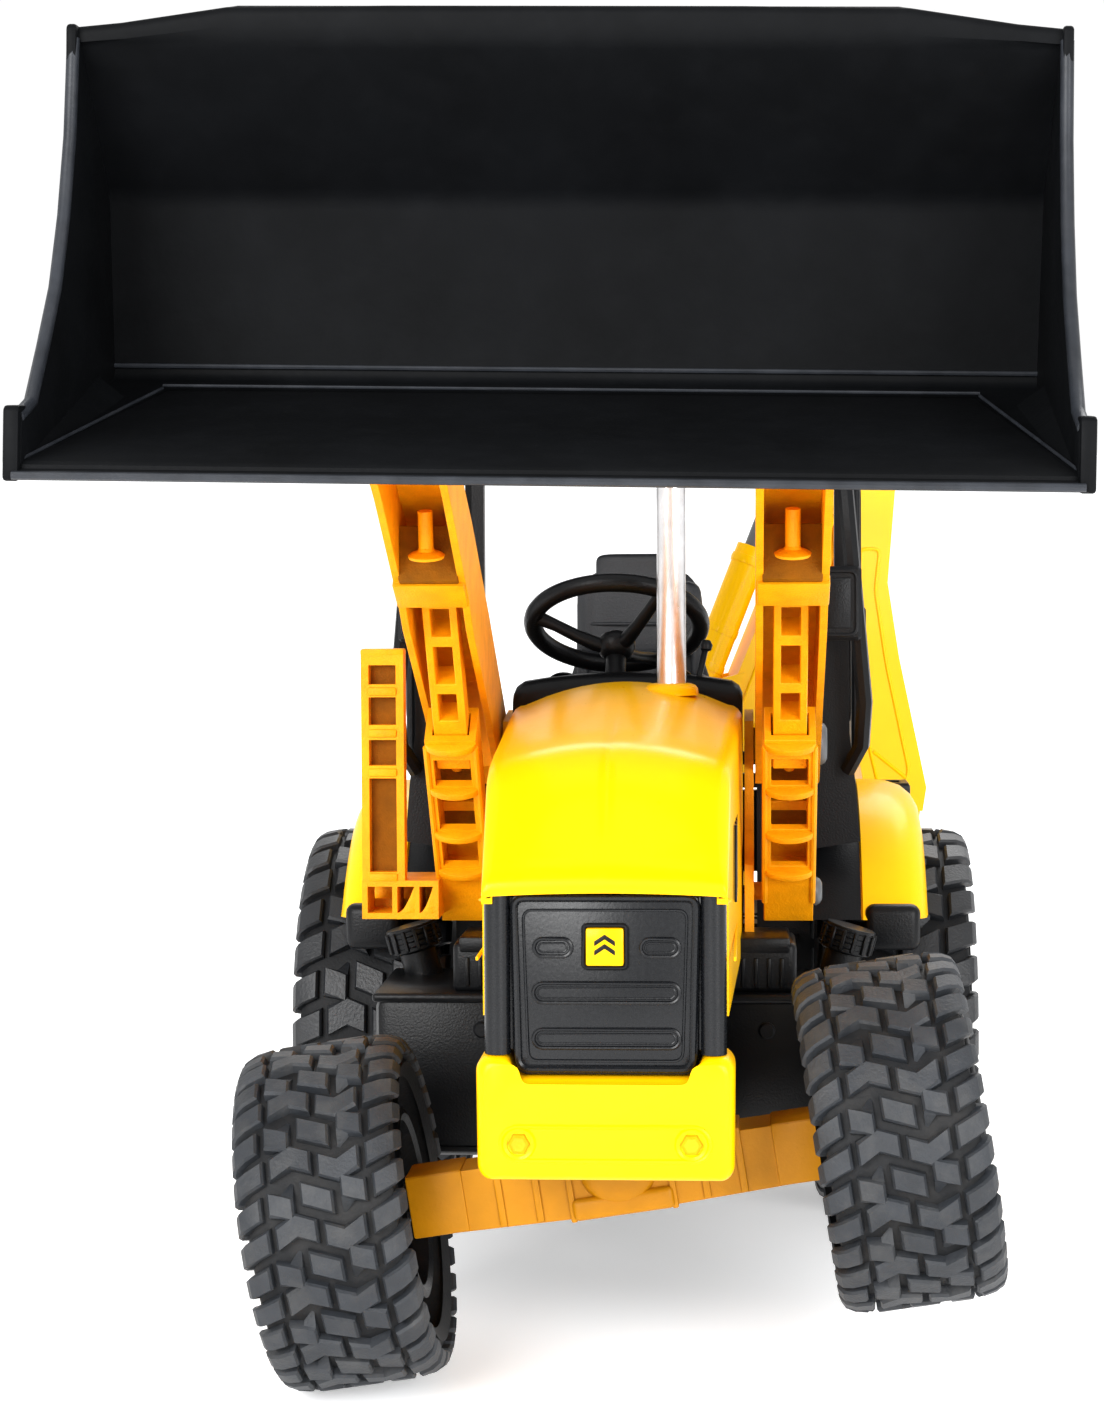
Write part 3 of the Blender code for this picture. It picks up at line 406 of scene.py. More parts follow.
def tread_block(shape, line, radius, us, v0, v1, wave, depth):
    """One block with sloping sides and a broken top edge."""
    levels = ((depth + 0.5, -0.15), (0.6, 0.05), (0.0, 0.5))
    rings = []
    for level, inset in levels:
        spots = list(us)
        spots[0] += inset
        spots[-1] -= inset
        chain = []
        for edge, run in ((v0 + inset, spots), (v1 - inset, spots[::-1])):
            for u in run:
                x, r = on_line(line, u, level)
                a = (edge + wave(u)) / radius
                chain.append((x, -r * cos(a), r * sin(a)))
        rings.append(chain)
    bm = bmesh.new()
    rows = [[bm.verts.new(p) for p in ring] for ring in rings]
    bridge(bm, rows)
    top = rows[-1]
    count = len(top)
    for i in range(len(us) - 1):
        bm.faces.new((top[i], top[i + 1], top[count - 2 - i], top[count - 1 - i]))
    bmesh.ops.recalc_face_normals(bm, faces=bm.faces)
    shape.add(bm)


def tyre(word, side, end, centre, radius, seat, width, periods, place):
    """Tread blocks in two staggered rows a period, over a carcass with two beads on its outer wall."""
    half = width / 2
    depth = 2.2
    grow = width / 34
    base = place @ Matrix.Translation(centre)
    line = shoulder(radius, half)
    knot = 4.6 * grow
    body = f"{word}_wheel_{end}"

    def wave(u):
        """How far the tread's pattern runs ahead at u."""
        return 0.42 * (-u if abs(u) <= knot else copysign(abs(u) - 2 * knot, u))

    treads = Shape(base)
    pitch = 2 * pi * radius / periods
    gap = 0.072 * pitch
    reach = half + 2.6
    for k in range(periods):
        v = k * pitch
        first, second = (v + gap, v + pitch / 2 - gap), (v + pitch / 2 + gap, v + pitch - gap)
        row_a = [(0.6 * grow, knot, 9.0 * grow), (10.2 * grow, half - 3.4, half - 1, half + 0.6, reach)]
        row_b = [(4.7 * grow, 7 * grow, 9.9 * grow), (11.2 * grow, half - 3, half - 0.8, half + 0.9, reach)]
        for row, span in ((row_a, first), (row_b, second)):
            for us in row:
                for run in (us, [-u for u in us][::-1]):
                    tread_block(treads, line, radius, run, *span, wave, depth)
        tread_block(treads, line, radius, (-3.2 * grow, 0, 3.2 * grow), *second, wave, depth)
    treads.finish(f"{word}_tread_{end}", body, TREADS[word], angle=24)

    profile = []
    for u in [reach + 5, reach + 2.6, reach + 0.4, half - 0.2, half - 2, half - 4.6, half - 8, 0]:
        profile.append(on_line(line, u, depth)[::-1])
    wall = [(seat + 0.2, half - 3.2), (seat + 1.2, half - 1.5), (seat + 2.6, half - 0.7),
            (seat + 4, half - 1.1), (seat + 4.8, half - 1.9)]
    lip = radius - 7.6 * grow
    well = [(lip + 1.2, half - 0.9), (lip, half - 1.6), (lip - 0.5, half - 3), (lip - 0.6, 3.4),
            (lip - 1.6, 2.2), (seat + 0.2, 2.0)]
    loop = wall + profile + [(r, -t) for r, t in profile[-2::-1] + well]
    if side < 0:
        loop = [(r, -t) for r, t in loop]
    carcass = Shape(base)
    carcass.lathe(loop, (0, 0, 0), (1, 0, 0), 72, closed=True)
    for r in (seat + 6.0, radius - 11):
        carcass.bead([(side * (half - 1.75), r * cos(a), r * sin(a)) for a in turns(56)], 0.55)
    carcass.finish(f"{word}_carcass_{end}", body, CARCASSES[word], (f"{word}_tyre_{end}",), angle=50)


def rim(word, side, end, centre, seat, width, place):
    """A dished rim with spokes and hexagonal nuts, and its plainer back."""
    half = width / 2
    body = f"{word}_wheel_{end}"
    outer = [(3.4, 11.6), (5.8, 11.9), (6.8, 11.2), (7.2, 6.6), (8.6, 5.2), (seat - 8, 4.4),
             (seat - 5.6, 5.6), (seat - 4.4, 8), (seat - 3.7, half - 5.4), (seat - 3.2, half - 3.6),
             (seat - 1.8, half - 2.8), (seat - 0.4, half - 3.3), (seat - 0.4, 0.6), (3.4, 0.6)]
    inner = [(3.4, 0.5), (seat - 0.4, 0.5), (seat - 0.4, -half + 3.3), (seat - 1.8, -half + 2.8),
             (seat - 3.2, -half + 3.6), (seat - 4, -half + 7), (seat - 4.3, -1.5), (8.4, -0.6),
             (7, -2.4), (6.8, -7.2), (5.8, -8), (3.4, -7.8)]
    nut = [(0, 6.6), (1.2, 6.6), (1.6, 6.1), (1.6, 4.0), (2.3, 3.9)]
    if side < 0:
        outer, inner = ([(r, -t) for r, t in loop] for loop in (outer, inner))
    back = Shape(place @ Matrix.Translation(centre))
    back.lathe(inner, (0, 0, 0), (1, 0, 0), 56, closed=True)
    back.finish(f"{word}_wheel_back_{end}", body, BLACK)
    shape = Shape(place @ Matrix.Translation(centre))
    shape.lathe(outer, (0, 0, 0), (1, 0, 0), 56, closed=True)
    for k in range(8):
        spin = Matrix.Rotation(radians(45 * k), 4, "X")
        shape.box((side * 4.0, -0.9, 7), (side * 7.4, 0.9, seat - 4.6), turn=spin)
        spin = Matrix.Rotation(radians(45 * k + 22.5), 4, "X")
        r = (7 + seat - 5) / 2
        shape.lathe(nut, (0, 0, r), (side, 0, 0), 6, turn=spin)
    shape.finish(f"{word}_wheel_rim_{end}", body, YELLOW, (f"{word}_rim_{end}",))


def make_wheels():
    """Each wheel's hub, tyre radius, rim radius, width and tread periods."""
    for side, end in SIDES:
        for word, (x, y, z), radius, seat, width, periods, place in (
                ("front", FRONT_HUB, 37, 21, 36, 16, AXLE),
                ("rear", REAR_HUB, 49, 29.3, 40, 15, Matrix.Identity(4))):
            centre = (side * x, y, z)
            tyre(word, side, end, centre, radius, seat, width, periods, place)
            rim(word, side, end, centre, seat, width, place)


# ---------------------------------------------------------------- hood and front


def line_height(y, x):
    """The raised line down the middle of the brow, and the groove behind it."""
    ridge = 1.3 * exp(-((y + 176) / 7) ** 2) * exp(-(x / 1.2) ** 2)
    groove = 0.6 * exp(-((y + 150) / 14) ** 2) * exp(-(x / 0.9) ** 2)
    return ridge - groove


def make_hood():
    """A crowned lid with soft shoulders and a short raised line down its brow."""
    spine = [(-190.5, 101.6), (-190.7, 103.2), (-190.1, 105.0), (-188.4, 107.4), (-187.2, 109.0),
             (-187.0, 109.2), (-184, 113.2), (-178, 121.2), (-174.5, 125.7), (-172, 128.2), (-169.5, 129.8),
             (-165, 131.0), (-150, 132.8), (-130, 134.6), (-110, 136.6), (-90, 138.6),
             (-76, 139.8), (-73.4, 139.6)]
    rows = []
    for y, z in spine:
        front = clamp((y + 190.7) / 14)
        back = (y + 190.6) / 117
        wide, soft, crown = 24.8 + 2.8 * back, 1.8 + 1.6 * front, 0.6 + 2.4 * front + 2.6 * back
        foot = 76.4 if y > -187.1 else min(100.6, z - 1)
        half = [(wide, foot + (z - crown - soft - foot) * part) for part in (0, 0.4, 0.8)]
        for k in range(5):
            a = pi / 2 * k / 4
            half.append((wide - soft + soft * cos(a), z - crown - soft + soft * sin(a)))
        for x in (19, 15, 11, 7.5, 4.5, 2.4, 1.2, 0.6):
            half.append((x, z - crown * (x / (wide - soft)) ** 2 + line_height(y, x)))
        row = half + [(0, z + line_height(y, 0))] + [(-x, h) for x, h in half[::-1]]
        rows.append([(x, y, h) for x, h in row])
    shape = Shape()
    shape.loft(rows, closed=False)
    obj = shape.finish("hood_lid", "hood", YELLOW, ("hood",), angle=50)
    wall = obj.modifiers.new("wall", "SOLIDIFY")
    wall.thickness = 0.0022
    wall.offset = -1
    break_edges(obj, 0.4, 50)
    collar = Shape()
    ring = [(3.7, 0), (6.4, 0), (6.2, 1.6), (5.6, 2.3), (4.6, 2.7), (3.7, 2.8)]
    collar.lathe(ring, (*EXHAUST, 137), (0, 0, 1), 32, True)
    collar.finish("exhaust_collar", "hood", YELLOW)
    pipe = Shape()
    stack = [(2.4, 70), (2.5, 82.6), (2.9, 83.0), (3.3, 82.5), (3.4, 80), (3.4, 0),
             (2.0, 0), (0.0, 0.2), (0.0, 70)]
    pipe.lathe(stack, (*EXHAUST, 122), (0, 0, 1))
    pipe.finish("exhaust_stack", "hood", CHROME, ("exhaust_pipe",))
    for side, end in SIDES:
        vents = Shape()
        for k in range(6):
            y = -156 + k * 9
            slit = [(y, 96), (y + 4.2, 96), (y + 8.2, 112), (y + 4, 112)]
            vents.prism(slit, side * 25.9, side * 26.5, "X", 0.2)
        vents.finish(f"hood_vents_{end}", "hood", BLACK)
        seam = Shape()
        seam.box((side * 25.9, -186, 87.4), (side * 26.45, -78, 88.2), 0.15)
        seam.box((side * 25.9, -118, 92), (side * 26.45, -80, 125), 0.25)
        seam.finish(f"hood_side_panel_{end}", "hood", YELLOW)


def make_front():
    """A grille panel with slots between round columns, a plain badge with two chevrons, and the bumper."""
    shape = Shape()
    shape.prism(rounded(mirrored([(17.6, 64.6), (18.6, 68.5), (18.9, 101.2)]), 1.6), -188.4, -176.6, "Y", 0.3)
    frame_line = rounded(mirrored([(17.6, 65.8), (18.5, 100.4)]), 2.2, 4)
    shape.bead([(x, -188.5, z) for x, z in frame_line], 0.75)
    inner = rounded(mirrored([(15.6, 67.4), (16.6, 98.0)]), 2.0, 4)
    shape.bead([(x, -188.45, z) for x, z in inner], 0.3, 6)
    for x0, x1, z0, z1 in ((-14.6, 15.0, 79.2, 83.2), (-14.6, 15.0, 70.0, 73.8),
                           (-14.4, -6.8, 88.6, 92.2), (7.2, 15.0, 88.6, 92.2)):
        shape.slot_ring(x0, x1, z0, z1, -188.5, 0.42)
        shape.slot_ring(x0 + 0.9, x1 - 0.9, z0 + 0.9, z1 - 0.9, -188.35, 0.22)
    shape.finish("grille_panel", "chassis", GLOSS_BLACK, ("front_grille",))
    columns = Shape()
    for side in (-1, 1):
        line = [(side * 21.9, -187.6, z) for z in (68.8, 70, 76, 84, 92, 98, 101.2)]
        columns.tube(line, 2.65, 20)
        columns.box((side * 18.4, -187.4, 69.2), (side * 22.6, -176.8, 101.0))
    columns.finish("grille_columns", "chassis", GLOSS_BLACK, angle=50)
    badge = Shape()
    badge.box((-3.8, -190.3, 86.9), (3.8, -188.2, 94.5), 0.45)
    badge.finish("badge_tile", "chassis", YELLOW, ("badge_plate",))
    border = Shape()
    border.bead([(x, -188.9, z) for x, z in rounded(rectangle(-4.3, 86.4, 4.3, 95.0), 0.8)], 0.5)
    chevron = [(-2.1, 89.0), (0, 90.4), (2.1, 89.0), (2.1, 90.0), (0, 91.4), (-2.1, 90.0)]
    for lift in (0, 1.9):
        border.prism([(x, z + lift) for x, z in chevron], -190.55, -190.1, "Y", 0.1)
    border.finish("badge_chevrons", "chassis", BLACK)
    make_bumper()


def make_bumper():
    """A crowned bumper with a slot across it and a hexagonal bolt in a collar at each end."""
    body = Shape()
    half = [(24.4, 43.3), (26.0, 45.4), (26.2, 66.6), (24.6, 68.7), (19.6, 68.6), (18.4, 64.2)]
    outer = rounded(mirrored(half), 1.6)
    rings = []
    for y, shrink in ((-176.6, 0.4), (-178, 0), (-189.2, 0), (-190.8, 0.35), (-191.7, 1.1), (-192.0, 2.3)):
        ring = []
        for x, z in outer:
            mid = Vector((0, 55.5))
            way = Vector((x, z)) - mid
            ring.append((x - copysign(min(shrink, abs(way.x) * 0.1), way.x), y,
                         z - copysign(min(shrink, abs(way.y) * 0.12), way.y)))
        rings.append(ring)
    body.loft(rings)
    body.slot_ring(-21.2, 21.2, 47.6, 54.6, -192.0, 0.5)
    collar = [(2.6, -0.4), (3.3, 0.0), (3.5, 0.4), (3.1, 0.9), (2.5, 0.7)]
    for side in (-1, 1):
        body.lathe(collar, (side * 17.4, -191.8, 51.1), (0, -1, 0), 28, True)
    body.finish("bumper_shell", "chassis", YELLOW, ("front_bumper",), angle=42)
    head = [(0, 1.2), (1.5, 1.2), (2.1, 0.7), (2.3, 0), (2.3, -1.4), (0, -1.4)]
    for side, end in SIDES:
        bolt = Shape()
        bolt.lathe(head, (side * 17.4, -191.9, 51.1), (0, -1, 0), 6)
        bolt.finish(f"bumper_hex_{end}", "chassis", ARM, (f"bumper_bolt_{end}",), 20)


make_wheels()
make_hood()
make_front()


# ---------------------------------------------------------------- bucket


def end_drop(x):
    """How far the bucket's top edge falls towards its ends."""
    return 3.7 * clamp((abs(x) - 56) / 25)


def make_bucket():
    play = Matrix.Translation((-2.6, 0, -0.8)) @ about((0, *BUCKET_PIN), 1.1, "Y")
    shape = Shape(play)
    ears = Shape()
    band = rounded([(-320, 180.4), (-319.4, 182.2), (-262, 197.0), (-247.9, 201.2), (-253.6, 233.3),
                    (-278.6, 257.2), (-279, 263), (-275.4, 263), (-274.4, 258.6), (-250.6, 235.6),
                    (-244.6, 199.8), (-247.5, 196.6)], 2.2, 3)
    rings = []
    for x in (-85.2, -83.6, -76, -58, -30, 0, 30, 58, 76, 83.6, 85.2):
        rings.append([(x, y, z - end_drop(x) * clamp((z - 257) / 3)) for y, z in band])
    shape.loft(rings)
    roll = [(x, -277.3, 261.6 - end_drop(x)) for x in (-85, -81, -56, -28, 0, 28, 56, 81, 85)]
    shape.tube(roll, 1.35)
    # Beads along the bucket's edges, finished in a lighter grey as painted highlight.
    edges = Shape(play)
    wear = Shape(play)
    low = [(-84.2, -318.4), (84.2, -318.4), (72, -257), (-72, -257)]
    rings = []
    for lift, inset in ((-0.4, 0.0), (0.35, 0.0), (0.75, 0.7)):
        ring = []
        for x, y in rounded(low, 1.2, 2):
            x -= copysign(inset, x)
            y += inset if y < -290 else -inset
            ring.append((x, y, 182.5 + (y + 319.4) * (197.4 - 182.2) / (319.4 - 258) + lift))
        rings.append(ring)
    wear.loft(rings)
    wear.finish("bucket_wear_plate", "front_bucket", BUCKET)
    cheek = rounded([(-318.4, 181.4), (-318.2, 190.5), (-308.5, 193.4), (-291.4, 213), (-280.8, 240),
                     (-279, 259), (-274.6, 259), (-251.4, 235.2), (-245, 200), (-248, 197.4)], 1.2, 2)
    toe = rounded([(-320, 180.2), (-319.6, 192.4), (-309.5, 193.0), (-301, 186.6), (-301, 184.9)], 0.9, 2)
    top = rounded([(-280.6, 259.4), (-280.6, 252.8), (-278.6, 250.5), (-274.6, 253), (-273.6, 259.4)], 0.9, 2)
    ear = [(-246, 198.5), (-249.5, 224), (-238, 221), (-226.8, 210), (-226.6, 202), (-234, 198.2)]
    for side, end in SIDES[::-1]:
        shape.prism(cheek, side * 83.2, side * 84.7, "X", 0.6)
        for x, radius, steps, line in (
                (84.2, 1.15, 10, ((-317.4, 190.6), (-308.2, 193.6), (-300, 203), (-291.6, 213.4),
                                  (-285.6, 226), (-281.3, 240), (-280, 250), (-279.2, 257))),
                (84.1, 0.55, 8, ((-276, 256.5), (-266, 247), (-254.4, 235.4))),
                (84.1, 0.55, 8, ((-254.4, 235.4), (-250.6, 216), (-248.4, 203))),
                (84.1, 0.4, 8, ((-249, 202.6), (-281, 194.6), (-309, 187.8)))):
            edges.tube([(side * x, y, z) for y, z in line], radius, steps)
        edges.tube([(side * 83.6, -317, 184), (side * 72.4, -258.6, 198.8)], 0.3, 8)
        shape.prism(toe, side * 83.4, side * 86.0)
        shape.prism(top, side * 83.4, side * 85.2)
        corner = Shape(play)
        rows = []
        for y, z, reach in ((-316, 183.6, 1.0), (-300, 187.5, 2.6), (-280, 192.2, 4.4), (-262, 196.8, 6.0)):
            rows.append([(side * 84, y, z + reach * 0.72), (side * (84 - reach), y, z - 0.1),
                         (side * 84, y, z - 1.2)])
        corner.loft(rows)
        corner.finish(f"bucket_corner_fillet_{end}", "front_bucket", BUCKET, angle=30)
        for near, far in ((27.6, 30.0), (46.7, 49.1)):
            ears.prism(rounded(ear, 1.5), side * near, side * far, "X", 0.4)
        for near, far, radius, last in ((26.6, 50.2, 2.1, 2.1), (48.8, 50.6, 3.6, 3.0)):
            ears.rod((side * near, *BUCKET_PIN), (side * far, *BUCKET_PIN), radius, last)
    rib = [(-246.5, 199), (-242.8, 203), (-248.6, 236), (-262, 249.5), (-264, 247), (-252, 235), (-247, 203)]
    for x in (-66, -14, 14, 66):
        shape.prism(rib, x - 1.1, x + 1.1, "X", 0.4)
    shape.finish("bucket_shell", "front_bucket", BUCKET, ("front_bucket",), angle=42)
    ears.finish("bucket_ears", "front_bucket", BUCKET)
    edges.tube([(x, -320.0, 181.3) for x in (-84.4, -60, -30, 0, 30, 60, 84.4)], 0.7, 8)
    edges.tube([(x, -258.2, 199.3) for x in (-72.4, -36, 0, 36, 72.4)], 0.3, 8)
    edges.tube([(x, -248.6, 203.4) for x in (-84, -42, 0, 42, 84)], 0.45, 8)
    edges.finish("bucket_edges_painted_highlight", "front_bucket", BUCKET_EDGE_HIGHLIGHT)


make_bucket()


# ---------------------------------------------------------------- loader arms and rams


def along(foot, head, distance, lift=0.0, x=0.0):
    """A point at a distance from a ram's foot towards its head, lifted off its axis."""
    a, b = Vector(foot), Vector(head)
    way = (b - a).normalized()
    p = a + way * distance + Vector((-way.y, way.x)) * lift
    return (x, p.x, p.y)


def make_arms():
    """The loader arms with their rams, the tower, the cross tube and the lever beside the cab."""
    button = [(0, 0), (3.7, 0), (3.9, 0.6), (3.2, 1.1), (1.9, 1.6), (1.3, 2.6), (0, 2.6)]
    lip = [(-158.8, 163.2), (-148.4, 158.4), (-147.4, 161.0), (-156.4, 165.6)]
    foot, head = LIFT_FOOT, LIFT_HEAD
    for side, end in SIDES:
        keep(f"loader_arm_{end}", ARM, 0.55)
        web = Shape()
        x = side * ARM_X
        web.tube([(x, -163.4, 170.2), (x, -164, 173), (x, -164.6, 175.6), (x, -165.4, 179)], 1.6, 14)
        web.lathe(button, (x, -163.2, 169.2), (0, -0.25, 0.97), 24)
        # The plate across the arm's end takes the darker arm plastic as painted shade.
        plate = Shape()
        face = [(-160.6, 164.4), (-158, 163.6), (-158, 176), (-160, 176)]
        plate.prism(face, side * 32.0, side * 44.6, "X", 0.3)
        plate.finish(f"arm_end_plate_painted_shade_{end}", "loader_arms", ARM_SHADE)
        web.finish(f"arm_web_{end}", "loader_arms", ARM)
        band = Shape()
        band.prism(lip, side * 30.9, side * 46.2)
        band.finish(f"arm_lip_{end}", "loader_arms", ARM)
        keep(f"lift_rod_{end}", ARM, 0.4)
        keep(f"lift_barrel_{end}", ARM, 0.5)
        ribs = Shape()
        # A thin dark sheet along the back of the barrel's channel: painted shade for its hollow.
        back = [along(foot, head, t, lift)[1:] for t, lift in ((8, -5.3), (53, -5.3), (53, -4.3), (8, -4.3))]
        hollow = Shape()
        hollow.prism(back, side * 32.7, side * 43.9, "X", 0)
        hollow.finish(f"lift_recess_painted_shade_{end}", f"lift_barrel_{end}", ARM_SHADE)
        for t in (12.2, 24.5, 38.5, 52.2):
            disc = [(x + 5.9 * cos(a), 3.2 * sin(a)) for a in (pi * k / 12 for k in range(13))]
            rings = []
            for run in (-0.9, 0.9):
                base = Vector(along(foot, head, t + run, 5.0))
                out = Vector(along(foot, head, t + run, 6.0)) - base
                rings.append([(px, base.y + out.y * h, base.z + out.z * h) for px, h in disc])
            ribs.loft(rings, bevel=0.25)
        for edge in sorted((side * 32.7, side * 43.9)):
            ribs.tube([along(foot, head, t, 5.5, edge) for t in (2, 20, 36, 52)], 0.7, 8)
        ribs.finish(f"lift_ribs_{end}", f"lift_barrel_{end}", ARM)
        shank = Shape()
        shank.tube([along(foot, head, t, -2.4, x) for t in (38, 43, 48, 53)], 1.3)
        shank.finish(f"lift_shank_{end}", f"lift_rod_{end}", ARM)
        pin = Shape()
        for spot, r, out in ((ARM_PIN, 5.2, 46.1), (LIFT_FOOT, 3.4, 44.4)):
            cap = [(0, 1.9), (r - 1.4, 1.9), (r - 0.5, 1.4), (r, 0.6), (r, 0), (0, 0)]
            pin.lathe(cap, (side * out, *spot), (side, 0, 0), 28)
        pin.finish(f"arm_pin_caps_{end}", "chassis", GREY)
    keep("arm_cross_tube", ARM, 0.4)
    keep("loader_tower", ARM, 0.5)
    # A dark plate behind the lever's windows: painted shade for their depth.
    recess = Shape()
    recess.box((-59.4, -90.62, 96), (-53.4, -90.3, 145.6), 0.0)
    recess.finish("lever_recess_painted_shade", "lift_barrel_right", ARM_SHADE)
    gusset = Shape()
    for x0, x1, low in ((-53.2, -49.2, 86.4), (-48.0, -44.8, 86.4)):
        arc = [(x0 + (x1 - x0) * k / 8, low + 6.2 * (1 - cos(pi / 2 * k / 8))) for k in range(9)]
        gusset.prism(arc + [(x1, low), (x0, low)], -93.8, -86, "Y", 0.2)
    for z in (94.8, 119.4, 128.6, 138.4):
        gusset.box((-59.8, -94.3, z - 1.0), (-53.0, -91.4, z + 0.9), 0.45)
    gusset.box((-61.5, -93.9, 146.6), (-51.3, -88.4, 148.3), 0.5)
    gusset.finish("lever_ribs", "lift_barrel_right", ARM)


# ---------------------------------------------------------------- cab


def wheel_at(h, x=0.0, across=0.0):
    """A point in the steering wheel's own leaning frame, h along its axis from the middle of the ring."""
    lean = (sin(WHEEL_LEAN), cos(WHEEL_LEAN))
    return (x - 3.4, -50 + h * lean[0] + across * lean[1], 153 + h * lean[1] - across * lean[0])


def make_steering_wheel():
    axis = Vector((0, sin(WHEEL_LEAN), cos(WHEEL_LEAN)))
    shape = Shape()
    profile = [(20.7 + 2.25 * cos(a), 2.25 * sin(a)) for a in turns(16)]
    shape.lathe(profile, wheel_at(0), axis, 72, True)
    spoke = ((1, -6.6), (5, -6.2), (10, -4.4), (15, -2.2), (20.2, -0.3))
    for a in (radians(62), radians(193), radians(306)):
        line = [wheel_at(h, r * cos(a), r * sin(a)) for r, h in spoke]
        shape.tube(line, [2.1, 1.9, 1.6, 1.5, 1.8], 14)
    shape.rod(wheel_at(-27), wheel_at(-8), 2.5, bevel=0.2)
    hub = [(0, -9.6), (2.6, -9.6), (4.0, -8.2), (4.7, -6.4), (4.7, -5.0), (4.0, -4.0), (0, -3.8)]
    shape.lathe(hub, wheel_at(0), axis, 32)
    shape.finish("steering_wheel_moulding", "steering_wheel", BLACK, ("steering_wheel",), angle=50)
    cap = Shape()
    cap.lathe([(3.4, -4.2), (3.2, -3.5), (2.4, -2.9), (1.2, -2.6), (0, -2.5)], wheel_at(0), axis, 28)
    cap.finish("steering_wheel_cap", "steering_wheel", BLACK, angle=60)


def cushion(shape, low, high, crown, roll, axis_out):
    """A padded block: rounded all round, and crowned on its outward face with raised side rolls."""
    low, high = Vector(low), Vector(high)
    bm = bmesh.new()
    bmesh.ops.create_cube(bm, size=1.0)
    bmesh.ops.subdivide_edges(bm, edges=bm.edges[:], cuts=11, use_grid_fill=True)
    for v in bm.verts:
        p = v.co * 2
        q = Vector((copysign(abs(c) ** 0.92, c) for c in p))
        blunt = max(1.0, (abs(q.x) ** 7 + abs(q.y) ** 7 + abs(q.z) ** 7) ** (1 / 7))
        q = q / blunt
        rolls = roll * exp(-((abs(q.x) - 0.82) / 0.16) ** 2) - roll * 0.5 * exp(-(q.x / 0.55) ** 4)
        swell = crown * (1 - min(1, abs(q.x)) ** 2)
        push = Vector(axis_out) * (swell + rolls)
        facing = max(0.0, q.dot(Vector(axis_out)))
        v.co = (low + high + q * (high - low)) / 2 + push * facing
    shape.add(bm)


def make_seat():
    keep("seat_pedestal", BLACK, 0.5)
    shape = Shape()
    cushion(shape, (-20, -20.4, 104.6), (20, 13, 115.4), 0.6, 1.6, (0, 0, 1))
    cushion(shape, (-20.5, 9.8, 110.5), (20.5, 15.6, 139), 0.4, 1.5, (0, -1, 0))
    cushion(shape, (-16.6, 9.8, 143.6), (16.6, 15.6, 163.5), 0.4, 1.3, (0, -1, 0))
    for side in (-1, 1):
        shape.box((side * 13.8, 10.2, 134), (side * 16.8, 15.4, 150), 1.2, 3)
    cushion(shape, (-11.5, 9.2, 160.5), (11.5, 14.8, 170.6), 0.9, 0.0, (0, -1, 0))
    for x in (-5, 5):
        shape.rod((x, 12.4, 156), (x, 12.4, 163), 1.4)
    back = mirrored([(18.6, 107.5), (20.4, 112), (20.4, 132), (16.8, 143), (16.8, 160), (12.5, 166)])
    shape.prism(rounded(back, 3), 13.4, 15.4, "Y", 0.6)
    for z in (120.5, 128.5, 151.5):
        shape.box((-13.5, 8.6, z), (13.5, 10.6, z + 0.9), 0.4)
    for y in (-11, -2, 6):
        shape.box((-13.5, y, 113.9), (13.5, y + 0.9, 115.9), 0.4)
    shape.finish("seat_moulding", "driver_seat", SEAT, ("driver_seat",), angle=60)
    rests = Shape()
    for side in (-1, 1):
        line = ((21.5, 12.4, 128), (21.8, 4, 128.6), (21.8, -7, 128.2), (21.6, -10, 127.4))
        rests.tube([(side * x, y, z) for x, y, z in line], [1.4, 1.9, 1.9, 1.3], 14)
        rests.box((side * 21.4 - 1.2, 10.6, 112), (side * 21.4 + 1.2, 14, 129), 0.6)
    rests.finish("seat_armrests", "driver_seat", SEAT)


